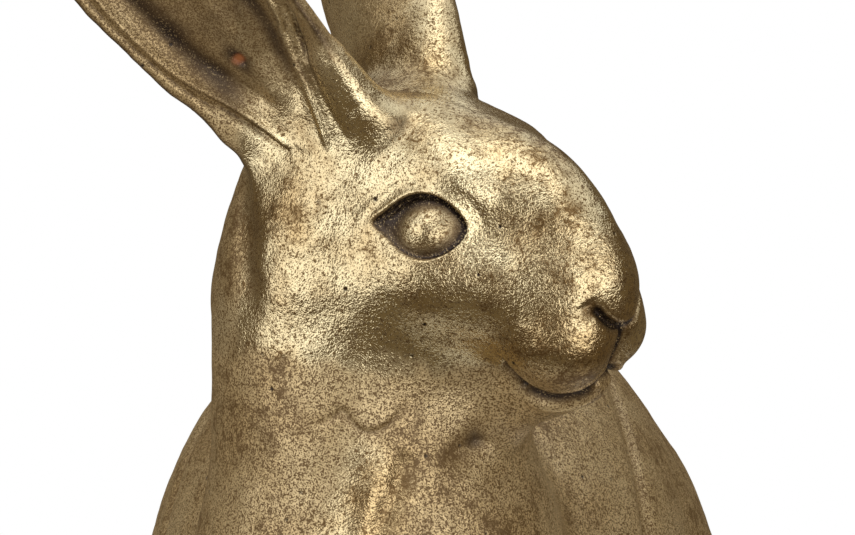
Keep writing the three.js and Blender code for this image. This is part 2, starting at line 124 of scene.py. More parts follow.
# Forms of the head, mirrored: hundredths of length, width and depth from the midline at eye level,
# the pitch nose down in degrees, and the blend
HEAD_FORMS = {
    "dome": ((-6, 0, -19), (44.5, 27, 44), 22, 0),
    "skull": ((-27, 10, -2.5), (30, 30, 34), 0, SOFT_BLEND),
    "cheek": ((-25, 20, -25), (32, 27.5, 32.5), 0, SOFT_BLEND),
    "brow": ((-5, 17.5, 4), (14, 17.5, 16), 0, SOFT_BLEND),
    "bridge": ((8, 3, -4), (20, 15, 19), 32, SOFT_BLEND),
    "snout": ((15.5, 7, -26.5), (16.5, 18.5, 17.5), 0, SOFT_BLEND),
    "whisker_pad": ((20.6, 14.5, -38.6), (13.6, 16.5, 14.6), 0, FIRM_BLEND),
    "nape": ((-42, 13, -7.5), (27, 35, 34), 0, SOFT_BLEND),
}
# Limbs of the head: ends likewise, radii in hundredths of the head's width, and the blend
HEAD_LIMBS = {
    "face_side": ((-9, 22.5, -19), (20.8, 1.7, -26), (25.8, 19.7), SOFT_BLEND),
    "jaw": ((21, 0, -51), (-14, 0, -62.5), (13.3, 25), FIRM_BLEND),
}
NECK_TOP_PLACE = (-44, -3.3, -37.5)
EAR_ROOT_PLACE = (-37, 31.7, 20)

# Ear along its length, in shares: how far along, half width there, and depth of the cup there
EAR_OUTLINE = ((0, 0.74, 1), (0.12, 0.82, 0.95), (0.34, 0.96, 0.86), (0.52, 1, 0.79), (0.72, 0.88, 0.71),
               (0.86, 0.62, 0.66), (0.95, 0.34, 0.62), (1, 0.03, 0.6))
# Lines along the inside of the ear: mm from the root, place across in shares, half width and height in mm
EAR_LINES = {
    "rear_ridge": ((2, 14, 26, 40, 60, 85, 105, 118),
                   (-.3, -.5, -.68, -.77, -.77, -.75, -.64, -.3), 1.0, 1.7),
    "rear_hollow": ((14, 26, 40, 60, 85, 105, 114), (-.3, -.46, -.57, -.59, -.57, -.44, -.2), 3.0, -1.6),
    "rear_groove": ((20, 40, 60, 85, 105, 116), (-.8, -.87, -.87, -.85, -.75, -.42), 0.7, -0.6),
    "root_groove": ((0, 6, 15, 24), (-.15, -.48, -.66, -.78), 1.5, -1.4),
    "floor_fold": ((14, 26, 40, 60, 85), (-.12, -.05, 0, .03, .02), 2.2, 0.7),
    "front_hollow": ((10, 23, 32, 60, 85, 104), (.12, .24, .38, .46, .4, .2), 3.0, -1.4),
    "front_ridge": ((-2, 4, 12, 19, 26, 34, 60, 85, 108),
                    (.17, .24, .31, .38, .49, .64, .7, .62, .3), 1.1, 1.5),
    "front_groove": ((-3, 6, 14, 23, 33, 60, 85, 105),
                     (.46, .48, .54, .63, .8, .85, .76, .5), 1.3, -1.6),
    "front_roll": ((-4, 12, 30, 60, 90, 112), (.8, .84, .95, .97, .9, .6), 4.2, 2.2),
}
# Web before the ear: ends across, in depth and along, and its radii, in mm
EAR_WEB = ((12, -3, -4), (15.5, -1, 14), 7.5, 2.5)
# Where a flake of the leaf came off inside the ear: across in shares and mm along
EAR_CHIP = (-0.18, 27)
# Box round the blade of an ear, in its own frame, past which its field is not worked out
EAR_NEAR = ((-44, 44), (-35, 25), (-22, 142))
# Dust that dulls the ears: how strong, and over how many mm from the root it comes in
EAR_DUST = 0.5
EAR_DUST_FADE = 16

# Eye: edge of the opening, forward and up from the head's middle at eye level, in mm
EYE_OPENING = (
    (-18.2, -1.6), (-14.8, 1.7), (-11, 4.4), (-7.5, 5.9), (-3.8, 6.2), (-0.5, 5.2), (2.6, 2.8),
    (4.8, -0.7), (4.9, -3.9), (2.8, -6.9), (-1, -8.7), (-5, -8.7), (-9.4, -7.2), (-13.8, -4.6),
)
EYE_MIDDLE = (-4.1, -1.7)
EYE_DEPTH = 1.5
EYE_PROUD = 0.6
# Half lengths of the patch of the eyeball that is rubbed bright
EYE_RUBBED = (6.2, 4.8)

# Down the middle from the nose to the mouth, in the head's own mm
UNDER_NOSE = ((36.8, 0, -28.4), (36, 0, -31.5), (34.4, 0, -35.5), (31, 0, -40.5))
# Carved lines of the face, on both sides: path in the head's own mm, half width, depth, and faded ends
FACE_LINES = {
    "nostril": (((34.6, 10.4, -20.2), (35.2, 8.9, -22.3), (36, 6.8, -25), (36.6, 3.8, -27.4),
                 (36.8, 0, -28.6)), 1.2, 2.2, (0.35, 0)),
    "nostril_flare": (((33, 11.6, -19), (34.2, 11, -21.4), (34.6, 10, -24)), 2.4, 0.7, (0.3, 0.4)),
    "philtrum": (UNDER_NOSE, 1.0, 2.0, (0, 0)),
    "lip_parting": (UNDER_NOSE, 3.2, 1.5, (0.3, 0)),
    "mouth": (((30.8, 0, -41), (30.2, 3.4, -41), (28.8, 4.9, -42.5), (26.5, 6.8, -43.8), (23.4, 8.6, -44.1),
               (20, 9.9, -43.9), (16.9, 11.3, -42.9), (14.2, 12.6, -41.1), (11.9, 14, -38.5),
               (10.2, 14.7, -36.5), (10.6, 16.5, -33.7)), 1.3, 2.3, (0, 0.15)),
    "mouth_recess": (((29, 3.5, -43.1), (26.4, 5.1, -45.3), (22.2, 6.8, -46.3), (18.6, 8.3, -46.3),
                      (15.6, 10, -44.9), (12.7, 11.2, -43.2), (10.6, 12.1, -40.9)), 1.9, 1.7, (0.15, 0.3)),
    "mouth_corner": (((13.6, 11.2, -42.8), (12.4, 12, -41), (11, 13.2, -39.2), (9.8, 13.6, -38),
                      (9.2, 14.2, -36.4)), 1.9, 1.9, (0.1, 0.15)),
    "lower_lip": (((26.8, 3.3, -47), (21.8, 5, -49.5), (18, 7.5, -49.8), (14.3, 10, -48.2), (11, 12, -46)),
                  1.8, -0.8, (0.2, 0.4)),
    "lip_rim": (((33.2, 2.2, -35.3), (31.6, 3.4, -38.3), (30, 5.2, -40.3), (27.8, 7.4, -41.7),
                 (24.6, 9.6, -42), (21, 11.4, -41.6), (17.6, 13, -40.2), (15, 14.3, -38.4)),
                0.9, -0.4, (0.2, 0.4)),
    "jaw_line": (((3, 14, -56), (-2, 20, -57), (-9, 26, -55)), 3.4, 0.9, (0.3, 0.4)),
}
# Carved lines of the neck and chest, in the sculpture's own mm
CHEST_LINES = {
    "fold": (((-13.5, -88.9, 159.6), (-9.7, -89.9, 159.2), (-6.3, -90.1, 160.8), (-3.7, -89.9, 162.5),
              (-1.9, -90.3, 160.4), (1, -90.6, 157.9), (4.3, -90.2, 157.7), (7.6, -89.1, 159.5),
              (10.2, -87.5, 162.9), (10.7, -87, 165.5)), 0.9, 0.75, (0.3, 0.25)),
    "under_jaw": (((18, -88, 150), (24, -84, 151), (30, -79.5, 153), (37, -73, 154)), 4.0, 1.1, (0.4, 0.4)),
    "breast_ridge": (((8, -91, 154), (6, -93, 147), (4, -95, 140), (1, -98, 132), (-4, -101, 117),
                      (-7, -100, 97)), 7.0, -1.5, (0.3, 0.4)),
    "breast_side": (((12.3, -89, 153.6), (11.1, -90.3, 149.5), (9.8, -91.7, 145.9), (8.3, -93.2, 141.8),
                     (6.8, -94.6, 137.7), (5.3, -95.8, 134), (2, -98.5, 124), (-2, -100, 108)),
                    3.1, 1.5, (0.15, 0.4)),
    "cheek_hollow": (((-32.4, -62, 217), (-32.2, -64.4, 211.5), (-31.4, -69.3, 204.9),
                      (-30.7, -72.9, 198.1), (-29.8, -75.7, 191.3), (-28.5, -77.7, 184.3),
                      (-26.5, -79.8, 178.6)), 5.0, 1.9, (0.2, 0.35)),
}
# Carved lines of the legs, mirrored left to right, in the sculpture's own mm
LEG_LINES = {
    "toe_front_inner": (((14, -105, 17), (13.4, -112, 12), (13, -116, 6), (13, -117, 2)), 1.2, 1.8, (0.4, 0)),
    "toe_front_outer": (((22.5, -105, 16), (22.6, -111, 12), (22.5, -114, 6), (22.5, -115, 2)),
                        1.2, 1.8, (0.4, 0)),
    "toe_hind_inner": (((53, -10, 20), (52.6, -17, 15), (52.4, -21, 8), (52.4, -21, 2)), 1.3, 1.8, (0.4, 0)),
    "toe_hind_outer": (((60, -10, 20), (60.4, -16, 15), (60.6, -19, 8), (60.6, -20, 2)), 1.3, 1.8, (0.4, 0)),
    "haunch": (((26, 68, 138), (36, 36, 134), (47, 10, 118), (57, -4, 92), (62, -4, 64), (64, 6, 40)),
               3.2, 1.7, (0.3, 0.3)),
    "elbow": (((30, -40, 88), (37, -34, 72), (38, -36, 56), (33, -44, 42)), 2.6, 1.4, (0.4, 0.4)),
    "hock": (((70, 20, 21), (71, 50, 22), (66, 84, 24)), 2.2, 1.3, (0.3, 0.3)),
    "foreleg_inner": (((5, -88, 62), (4, -94, 42), (4, -96, 22), (3, -94, 8)), 2.4, 1.6, (0.4, 0)),
}
# Down the middle of the breast, where hands have rubbed the leaf bright, and half the width of that strip;
# where the leaf is matt: below a level, behind the cheeks, and in a patch on each whisker pad
BREAST_RUBBED = np.array([(4.5, -92, 146), (1, -94, 140), (-1, -96.5, 133), (-5, -100, 117), (-7, -100, 97)])
RUBBED_HALF = 8.5
DULL_BELOW = 174
DULL_BEHIND = -31.5
PAD_GLAZED = (23, 10, -42)
PAD_GLAZED_RADIUS = 9.5
# Unevenness left by the hand that modelled it: size of the lumps and their height, in mm
HAND_LUMPS = ((17, 0.35), (7, 0.16), (2.6, 0.07))

# Level above which the head, and level below which the trunk, takes part in a place's field
HEAD_ABOVE = 118
TRUNK_BELOW = 205
# Boxes that the pieces are meshed in, in the sculpture's own mm
HEAD_ROOM = ((-75, -118, 138), (78, 2, 262))
BODY_ROOM = ((-82, -122, 0), (82, 150, 180))
TAIL_ROOM = 21
# An ear's box, in its own frame, is wide enough at the back for the crown that lies above its cut
EAR_ROOM = ((-EAR_WIDTH / 2 - 8, -EAR_CUP_BACK - 14, 1),
            (EAR_WIDTH / 2 + 8, EAR_RIM_FRONT + 10, EAR_LENGTH + 3))
# Where the front of the body has finer faces: above that level and before that place along the body
FRONT_ABOVE = 108
FRONT_BEFORE = -52
# Behind the figurine, from where the rump is felt for, in mm
BEHIND_RUMP = 160

# Fineness of the meshes, in mm
COARSEN = 1.0
HEAD_STEP = 0.66 * COARSEN
EAR_STEP = 0.62 * COARSEN
BODY_STEP = 1.45 * COARSEN
TAIL_STEP = 0.62 * COARSEN

# The photograph: where it looks from, how far off, what a pixel covers at the head, and how many pixels
# right of the picture's middle and above it the head's own middle lies
PHOTO_WIDTH = 855
PHOTO_AZIMUTH = 7
PHOTO_ELEVATION = 10
PHOTO_DISTANCE = 1100
PIXEL = 0.24
HEAD_PIXEL = (68.5, 69.5)
SENSOR = 36


# Fields: negative inside, about the distance in mm outside
# Workers that share the places, and how many places each takes at a time
CREW = ThreadPoolExecutor(4)
PART = 12000


def in_parts(work, places):
    """The work done on the places part by part, a few parts at a time, and joined again."""
    if len(places) <= PART:
        return work(places)
    parts = np.array_split(places, -(-len(places) // PART))
    return np.concatenate(list(CREW.map(work, parts)))


def only_near(places, near, field, far=60.0):
    """The field at the places marked as near, and a large distance at the others."""
    values = np.full(len(places), far)
    if near.any():
        values[near] = field(places[near])
    return values


def unit(vector):
    """The vector, one long."""
    vector = np.asarray(vector, float)
    return vector / np.linalg.norm(vector)


def smooth_step(share):
    """From 0 to 1 with level ends, as the share goes from 0 to 1."""
    share = np.clip(share, 0.0, 1.0)
    return share * share * (3.0 - 2.0 * share)


def melt(a, b, radius):
    """Two fields joined, the corner between them filled to about that radius."""
    if radius == 0:
        return np.minimum(a, b)
    h = np.clip(0.5 + 0.5 * (b - a) / radius, 0.0, 1.0)
    return b + (a - b) * h - radius * h * (1.0 - h)


def keep_both(a, b, radius):
    """The overlap of two fields, its edge rounded."""
    return -melt(-a, -b, radius)


def ellipsoid(places, centre, radii, pitch=0):
    """A rounded form with a radius along each axis, its front turned down by the pitch."""
    away = places - centre
    if pitch:
        c, s = cos(radians(pitch)), sin(radians(pitch))
        away = np.stack([away[:, 0] * c - away[:, 2] * s, away[:, 1], away[:, 0] * s + away[:, 2] * c], 1)
    near = np.sqrt(((away / radii) ** 2).sum(1))
    slope = np.sqrt(((away / radii**2) ** 2).sum(1))
    return near * (near - 1.0) / np.maximum(slope, 1e-9)


def limb(places, start, end, start_radius, end_radius):
    """A round bar that thins or thickens evenly from its start to its end."""
    run = end - start
    away = places - start
    along = np.clip(away @ run / (run @ run), 0.0, 1.0)
    gap = np.linalg.norm(away - along[:, None] * run, axis=1)
    return gap - (start_radius + (end_radius - start_radius) * along)


def share_of(place, size):
    """A place or radii given in hundredths of a size, in mm."""
    return np.asarray(place, float) * size / 100.0


def mirrored(places, axis):
    """The places with those of the other side folded over onto one side."""
    folded = places.copy()
    folded[:, axis] = np.abs(folded[:, axis])
    return folded


# Random heights on a cube of points, one cube for each pattern of lumps
SIDE = 32
PATTERNS = 6
LATTICES = [np.random.default_rng(seed).uniform(-1.0, 1.0, SIDE**3) for seed in range(PATTERNS)]


def lumps(places, size, seed):
    """Smooth random heights from -1 to 1, with lumps of that size in mm."""
    lattice = LATTICES[seed]
    scaled = places / size
    cell = np.floor(scaled).astype(np.int64)
    x, y, z = (scaled - cell).T
    x, y, z = (smooth_step(share) for share in (x, y, z))
    near, far = cell & (SIDE - 1), (cell + 1) & (SIDE - 1)
    rows = [near[:, 0] * SIDE * SIDE, far[:, 0] * SIDE * SIDE]
    lines = [near[:, 1] * SIDE, far[:, 1] * SIDE]
    height = 0.0
    for row, share_x in zip(rows, (1.0 - x, x)):
        for line, share_y in zip(lines, (1.0 - y, y)):
            at = row + line
            height = height + share_x * share_y * (
                (1.0 - z) * lattice.take(at + near[:, 2]) + z * lattice.take(at + far[:, 2]))
    return height


def curve_through(points, steps, closed=False):
    """A smooth path through the points, with that many steps from each point to the next."""
    points = np.asarray(points, float)
    count = len(points)
    spans = count if closed else count - 1

    def pick(i):
        return points[i % count] if closed else points[min(max(i, 0), count - 1)]

    path = []
    for i in range(spans):
        before, start, end, after = pick(i - 1), pick(i), pick(i + 1), pick(i + 2)
        for t in np.arange(steps) / steps:
            path.append(0.5 * (2 * start + (end - before) * t
                               + (2 * before - 5 * start + 4 * end - after) * t**2
                               + (3 * start - before - 3 * end + after) * t**3))
    if not closed:
        path.append(points[-1])
    return np.array(path)


def nearest_on(path, places):
    """Distance from each place to a path, and how many spans along the path it comes nearest."""
    gap = np.full(len(places), np.inf)
    along_path = np.zeros(len(places))
    for i in range(len(path) - 1):
        run = path[i + 1] - path[i]
        away = places - path[i]
        along = np.clip(away @ run / max(run @ run, 1e-12), 0.0, 1.0)
        here = ((away - along[:, None] * run) ** 2).sum(1)
        closer = here < gap
        gap[closer] = here[closer]
        along_path[closer] = i + along[closer]
    return np.sqrt(gap), along_path


def within(outline, flat):
    """Distance from places on a plane to a closed outline, negative inside it."""
    gap, _ = nearest_on(np.vstack([outline, outline[:1]]), flat)
    inside = np.zeros(len(flat), bool)
    for (x1, y1), (x2, y2) in zip(outline, np.roll(outline, -1, axis=0)):
        crosses = (y1 > flat[:, 1]) != (y2 > flat[:, 1])
        level = (flat[:, 1] - y1) / (y2 - y1 if y2 != y1 else 1e-9)
        inside ^= crosses & (flat[:, 0] < x1 + level * (x2 - x1))
    return np.where(inside, -gap, gap)


# Frames: where the head and the ears sit in the sculpture
barrel_at, barrel_radii = (share_of(part, BODY_SIZE) for part in TRUNK_FORMS["barrel"][:2])
seat_at, seat_radii = (share_of(part, BODY_SIZE) for part in TRUNK_FORMS["seat"][:2])
neck_back = NECK_Y + NECK_BASE_RADIUS
back_level = barrel_at[2] + barrel_radii[2] * sqrt(1 - ((neck_back - barrel_at[1]) / barrel_radii[1]) ** 2)
seat_level = back_level + NECK_RISE - NECK_BASE_RADIUS * tan(radians(NECK_SEAT_TILT))
SEAT_POINT = np.array([0, NECK_Y, seat_level])
SEAT_NORMAL = np.array([0, -sin(radians(NECK_SEAT_TILT)), cos(radians(NECK_SEAT_TILT))])

head_forward = np.array([cos(radians(HEAD_TURN)), -sin(radians(HEAD_TURN)), 0])
level_left = np.array([sin(radians(HEAD_TURN)), cos(radians(HEAD_TURN)), 0])
head_left = level_left * cos(radians(HEAD_ROLL)) + np.array([0, 0, sin(radians(HEAD_ROLL))])
HEAD_AXES = np.array([head_forward, head_left, np.cross(head_forward, head_left)])
HEAD_ORIGIN = np.array([0, NECK_Y, seat_level + EYE_RISE]) + HEAD_REACH * head_forward

EAR_ROOT = share_of(EAR_ROOT_PLACE, HEAD_SIZE)
ear_along = unit([-tan(radians(EAR_RAKE)), tan(radians(EAR_SPLAY)), 1])
ear_facing = np.array([sin(radians(EAR_FACING)), cos(radians(EAR_FACING)), 0])
ear_facing = unit(ear_facing - (ear_facing @ ear_along) * ear_along)
EAR_AXES = np.array([np.cross(ear_facing, ear_along), ear_facing, ear_along])

NECK_TOP = share_of(NECK_TOP_PLACE, HEAD_SIZE) @ HEAD_AXES + HEAD_ORIGIN
NECK_ROOT = np.array([0, NECK_Y, seat_level - NECK_ROOT_DROP])


def into_head(places):
    """Places of the sculpture in the head's own mm: forward, left and up from its middle."""
    return (places - HEAD_ORIGIN) @ HEAD_AXES.T


def out_of_head(places):
    """Places in the head's own mm, back in the sculpture."""
    return np.asarray(places, float) @ HEAD_AXES + HEAD_ORIGIN


def ear_axes(side):
    """Root and axes of an ear in the head's frame; side is 1 for the left and -1 for the right."""
    mirror = np.array([1, side, 1])
    return EAR_ROOT * mirror, EAR_AXES * mirror


def into_ear(local):
    """Places of the head in the frame of the ear on their side: across, out of the cup and along."""
    return (mirrored(local, 1) - EAR_ROOT) @ EAR_AXES.T


# Smooth curves through the ear's tables
EAR_CURVE = curve_through(EAR_OUTLINE, 10).T
EAR_PATHS = [(curve_through(list(zip(levels, shares)), 8).T, width, height)
             for levels, shares, width, height in EAR_LINES.values()]


# Masses of the figure
def head_mass(local):
    """The head without its ears."""
    folded = mirrored(local, 1)
    field = None
    for at, radii, pitch, blend in HEAD_FORMS.values():
        form = ellipsoid(folded, share_of(at, HEAD_SIZE), share_of(radii, HEAD_SIZE), pitch)
        field = form if field is None else melt(field, form, blend)
    for start, end, radii, blend in HEAD_LIMBS.values():
        bar = limb(folded, share_of(start, HEAD_SIZE), share_of(end, HEAD_SIZE),
                   radii[0] * HEAD_WIDTH / 100, radii[1] * HEAD_WIDTH / 100)
        field = melt(field, bar, blend)
    return field


def ear_blade(local):
    """Both ears, each worked out only in its own box."""
    own = into_ear(local)
    low, high = np.array(EAR_NEAR).T
    return only_near(own, ((own > low) & (own < high)).all(1), blade)


def ear_web(local):
    """Flesh that fills the corner between the front edge of the ear and the crown."""
    start, end, start_radius, end_radius = EAR_WEB
    return limb(into_ear(local), np.array(start), np.array(end), start_radius, end_radius)


def ear_shares(along):
    """Half width in mm and share of the cup, at a level along the ear."""
    share = np.clip(along / EAR_LENGTH, 0.0, 1.0)
    levels, widths, cups = EAR_CURVE
    return EAR_WIDTH / 2 * np.interp(share, levels, widths), np.interp(share, levels, cups)


def blade(own):
    """A cupped blade in the ear's own frame, its inside with ridges and grooves along it."""
    across, depth, along = own.T
    half, cupped = ear_shares(along)
    hollow = cupped * (1.0 - np.clip(across / half, -1.2, 1.2) ** 2)
    back = -EAR_RIM_BACK - EAR_CUP_BACK * hollow
    front = EAR_RIM_FRONT - EAR_CUP_FRONT * hollow * smooth_step(along / 26.0)
    for path, width, height in EAR_PATHS:
        centre = half * np.interp(along, *path)
        ends = smooth_step((along - path[0][0] + 4) / 8) * smooth_step((path[0][-1] + 4 - along) / 8)
        front += height * ends * np.exp(-(((across - centre) / width) ** 2))
    chip = ((across - EAR_CHIP[0] * half) / 1.5) ** 2 + ((along - EAR_CHIP[1]) / 1.9) ** 2
    front -= 0.9 * np.exp(-(chip**2))
    shell = keep_both(depth - front, back - depth, 1.0)
    field = keep_both(shell, np.abs(across) - half, 3.2)
    field = keep_both(field, along - EAR_LENGTH, 4.0)
    return keep_both(field, -along - 4.0, 2.0) * 0.75


def trunk_mass(places):
    """The trunk with its legs and feet."""
    folded = mirrored(places, 0)
    field = None
    for at, radii, blend in TRUNK_FORMS.values():
        form = ellipsoid(folded, share_of(at, BODY_SIZE), share_of(radii, BODY_SIZE))
        field = form if field is None else melt(field, form, blend)
    for start, end, radii, blend in LEGS.values():
        leg = limb(folded, share_of(start, BODY_SIZE), share_of(end, BODY_SIZE),
                   radii[0] * BODY_WIDTH / 100, radii[1] * BODY_WIDTH / 100)
        field = melt(field, leg, blend)
    return field


def masses(places):
    """The whole figure before anything is carved."""
    local = into_head(places)
    head = only_near(local, places[:, 2] > HEAD_ABOVE, head_mass)
    head = melt(head, ear_web(local), WEB_BLEND)
    head = melt(head, ear_blade(local), EAR_BLEND)
    neck = limb(places, NECK_TOP, NECK_ROOT, NECK_TOP_RADIUS, NECK_BASE_RADIUS)
    trunk = only_near(places, places[:, 2] < TRUNK_BELOW, trunk_mass)
    return melt(melt(head, neck, NECK_BLEND), trunk, NECK_BLEND)


# Four points round a place, at that many mm along each axis, that its slope is read from
CORNERS = np.array([[1, 1, 1], [1, -1, -1], [-1, 1, -1], [-1, -1, 1]], float)
PROBE = 0.06


def level_and_slope(field, places):
    """The field and the direction in which it rises, from four points round each place."""
    values = [field(places + PROBE * corner) for corner in CORNERS]
    slope = sum(value[:, None] * corner for value, corner in zip(values, CORNERS)) / (4 * PROBE)
    return sum(values) / 4, slope


def slope_of(field, places):
    """The direction in which the field rises, at many places."""
    return in_parts(lambda part: level_and_slope(field, part)[1], places)


def settle(field, places, rounds, limit=2.0):
    """Moves places onto the surface of the field, along its slope."""
    def moved(part):
        for _ in range(rounds):
            level, slope = level_and_slope(field, part)
            step = (level / np.maximum((slope**2).sum(1), 0.04))[:, None] * slope
            length = np.linalg.norm(step, axis=1)
            part = part - step * np.minimum(1.0, limit / np.maximum(length, 1e-9))[:, None]
        return part
    return in_parts(moved, places)


# Carving: each line is laid on the uncarved surface, and then sinks or lifts it
def laid_lines(table, place, back):
    """Lines as (path, outward direction, half width, depth, fades), on the surface; back takes them home."""
    lines = []
    for points, width, depth, fades in table.values():
        laid = settle(masses, curve_through([place(point) for point in points], 5), 12)
        path = back(laid)
        outward = back(laid + level_and_slope(masses, laid)[1]) - path
        outward /= np.linalg.norm(outward, axis=1)[:, None]
        lines.append((path, outward, width, depth, fades))
    return lines


def carve_line(field, places, line):
    """Adds the line's depth to the field, in the sheet that stands in from the path."""
    path, outward, width, depth, fades = line
    reach = 3 * width + 2
    near = np.flatnonzero(((places > path.min(0) - reach) & (places < path.max(0) + reach)).all(1))
    if len(near) == 0:
        return
    gap, along = nearest_on(path, places[near])
    span = np.minimum(along.astype(int), len(path) - 2)
    part = (along - span)[:, None]
    foot = path[span] * (1 - part) + path[span + 1] * part
    inward = ((places[near] - foot) * outward[span]).sum(1)
    aside = gap**2 - np.where(inward < 0, inward**2, 0.0)
    weight = np.exp(-np.maximum(aside, 0.0) / width**2)
    share = along / (len(path) - 1)
    if fades[0]:
        weight *= smooth_step(share / fades[0])
    if fades[1]:
        weight *= smooth_step((1.0 - share) / fades[1])
    field[near] += depth * weight


# Edge of the eye's opening as a smooth path
EYE_EDGE = curve_through(EYE_OPENING, 4, closed=True)
# A surface is felt for along a line: this many steps, each that share of the distance left
FEELING_STEPS = 80
FEELING_SHARE = 0.8


def eye_seat():
    """Point of the side of the head that the middle of the eye lies on, and the outward direction there."""
    def local(places):
        return masses(out_of_head(places))

    spot = np.array([[EYE_MIDDLE[0], -60.0, EYE_MIDDLE[1]]])
    for _ in range(FEELING_STEPS):
        spot[0, 1] += local(spot)[0] * FEELING_SHARE
    return spot[0], unit(slope_of(local, spot)[0])


EYE_SPOT, EYE_OUT = eye_seat()
EYE_CENTRE = (EYE_SPOT - EYE_OUT * (EYE_BALL_RADIUS - EYE_PROUD)) * np.array([1, -1, 1])


def near_eye(folded):
    """Which of the places, folded to the left of the head, lie round the eye."""
    offset = folded - EYE_CENTRE
    return np.flatnonzero((np.abs(offset[:, 0]) < 24) & (np.abs(offset[:, 2]) < 22) & (offset[:, 1] > -6))


def carve_eyes(field, local):
    """Socket with its lids, deepest under the upper lid, and the ball in it."""
    folded = mirrored(local, 1)
    near = near_eye(folded)
    if len(near) == 0:
        return
    flat = folded[near][:, [0, 2]]
    edge = within(EYE_EDGE, flat)
    upper = smooth_step((flat[:, 1] - EYE_MIDDLE[1] + 4) / 9)
    rear = smooth_step((-9 - flat[:, 0]) / 8)
    wall = EYE_DEPTH * (1.0 - 0.45 * rear) * smooth_step((0.15 - edge) / 0.9)
    groove = (0.1 + 1.2 * upper) * (1.0 - 0.5 * rear) * np.exp(-(((edge + 1.2) / 0.65) ** 2))
    lid = (0.05 + 0.25 * upper) * np.exp(-(((edge - 0.6) / 0.6) ** 2))
    above = 0.25 * upper * np.exp(-(((edge - 3.0) / 1.3) ** 2))
    field[near] += wall + groove - lid + above
    ball = np.linalg.norm(folded[near] - EYE_CENTRE, axis=1) - EYE_BALL_RADIUS
    field[near] = melt(field[near], ball, 2.0)


HEAD_LINES = laid_lines(FACE_LINES, out_of_head, into_head)
TORSO_LINES = laid_lines(CHEST_LINES, np.asarray, np.asarray)
LIMB_LINES = laid_lines(LEG_LINES, np.asarray, np.asarray)


def figure(places):
    """The carved figure, ears and all."""
    local = into_head(places)
    field = masses(places)
    for seed, (size, height) in enumerate(HAND_LUMPS, 1):
        field = field - height * lumps(places, size, seed)
    folded_head = mirrored(local, 1)
    for line in HEAD_LINES:
        carve_line(field, folded_head, line)
    carve_eyes(field, local)
    for line in TORSO_LINES:
        carve_line(field, places, line)
    folded_body = mirrored(places, 0)
    for line in LIMB_LINES:
        carve_line(field, folded_body, line)
    return field


# Where the finish differs, and where shade is painted
def glaze_and_painted_shade(places):
    """Brown glaze left by the brush: in carved lines, round the eyes and in the hollows of the ears. It is
    also
    painted shade: darker the deeper a line is, and round the eye darker towards the upper lid, as its shadow.
    """
    amount = np.zeros(len(places))
    local = into_head(places)
    folded = mirrored(local, 1)
    limbs = mirrored(places, 0)
    for where, lines in ((folded, HEAD_LINES), (places, TORSO_LINES), (limbs, LIMB_LINES)):
        for line_path, outward, width, depth, fades in lines:
            # Painted shade along with the glaze: the deeper and narrower a carved line, the darker it is
            # made; raised lines keep less glaze
            strength = np.clip(depth / 1.6, -0.5, 1.0) * (1.0 if width < 3 else 0.3)
            carve_line(amount, where, (line_path, outward, width, strength, fades))
    near = near_eye(folded)
    if len(near):
        flat = folded[near][:, [0, 2]]
        edge = within(EYE_EDGE, flat)
        rubbed = np.exp(-((np.linalg.norm((flat - EYE_MIDDLE) / EYE_RUBBED, axis=1)) ** 4))
        upper = smooth_step((flat[:, 1] - EYE_MIDDLE[1] + 3) / 6)
        # Glaze round the eyeball, made darker towards the upper lid as painted shadow of the lid; the rubbed
        # middle is left bare
        amount[near] += (0.85 + 0.25 * upper) * smooth_step((0.2 - edge) / 0.7) * (1.0 - rubbed)
    own = into_ear(local)
    inside = np.flatnonzero((own[:, 2] > -4) & (own[:, 1] > -9) & (np.abs(own[:, 0]) < 28))
    across, depth, along = own[inside].T
    half, cupped = ear_shares(along)
    place = across / half
    middle = -0.3 - 7.3 * cupped * (1.0 - np.clip(place, -1.2, 1.2) ** 2)
    face = smooth_step((depth - middle) / 1.2) * smooth_step((along - 6) / 22)
    rear_hollow = np.exp(-(((place + 0.55) / 0.14) ** 2))
    front_hollow = np.exp(-(((place - 0.1 - 0.3 * smooth_step(along / 36)) / 0.12) ** 2))
    floor = smooth_step((0.55 - np.abs(place + 0.1)) / 0.25)
    chip = ((across - EAR_CHIP[0] * half) / 2.0) ** 2 + ((along - EAR_CHIP[1]) / 3.6) ** 2
    amount[inside] += face * (0.7 * rear_hollow + 0.6 * front_hollow + 0.3 * floor + 0.9 * np.exp(-chip))
    return amount


def dulled(places):
    """How matt the leaf is left: where glaze was dabbed on below and behind the cheeks and on the whisker
    pads, but not down the breast, and where the ears are dusty."""
    ragged = 3.0 * lumps(places, 9, 3) + 1.8 * lumps(places, 3, 4)
    below = smooth_step((DULL_BELOW - places[:, 2] + ragged) / 5 + 0.5)
    behind = 0.7 * smooth_step((DULL_BEHIND - places[:, 0] + 0.3 * ragged) / 2.5 + 0.5)
    local = into_head(places)
    pad = mirrored(local, 1) - PAD_GLAZED
    muzzle = 0.85 * np.exp(-((np.linalg.norm(pad, axis=1) / PAD_GLAZED_RADIUS) ** 4))
    below = np.maximum(below, muzzle)
    gap, _ = nearest_on(BREAST_RUBBED, places)
    rubbed = np.exp(-((np.maximum(gap + 0.6 * ragged, 0.0) / RUBBED_HALF) ** 4))
    dabbed = np.maximum(below, behind) * (1.0 - rubbed)
    own = into_ear(local)
    in_ear = (np.abs(own[:, 0]) < 42) & (np.abs(own[:, 1] + 5) < 30)
    return dabbed + EAR_DUST * in_ear * smooth_step((own[:, 2] - EAR_CUT + 0.5 * ragged) / EAR_DUST_FADE)


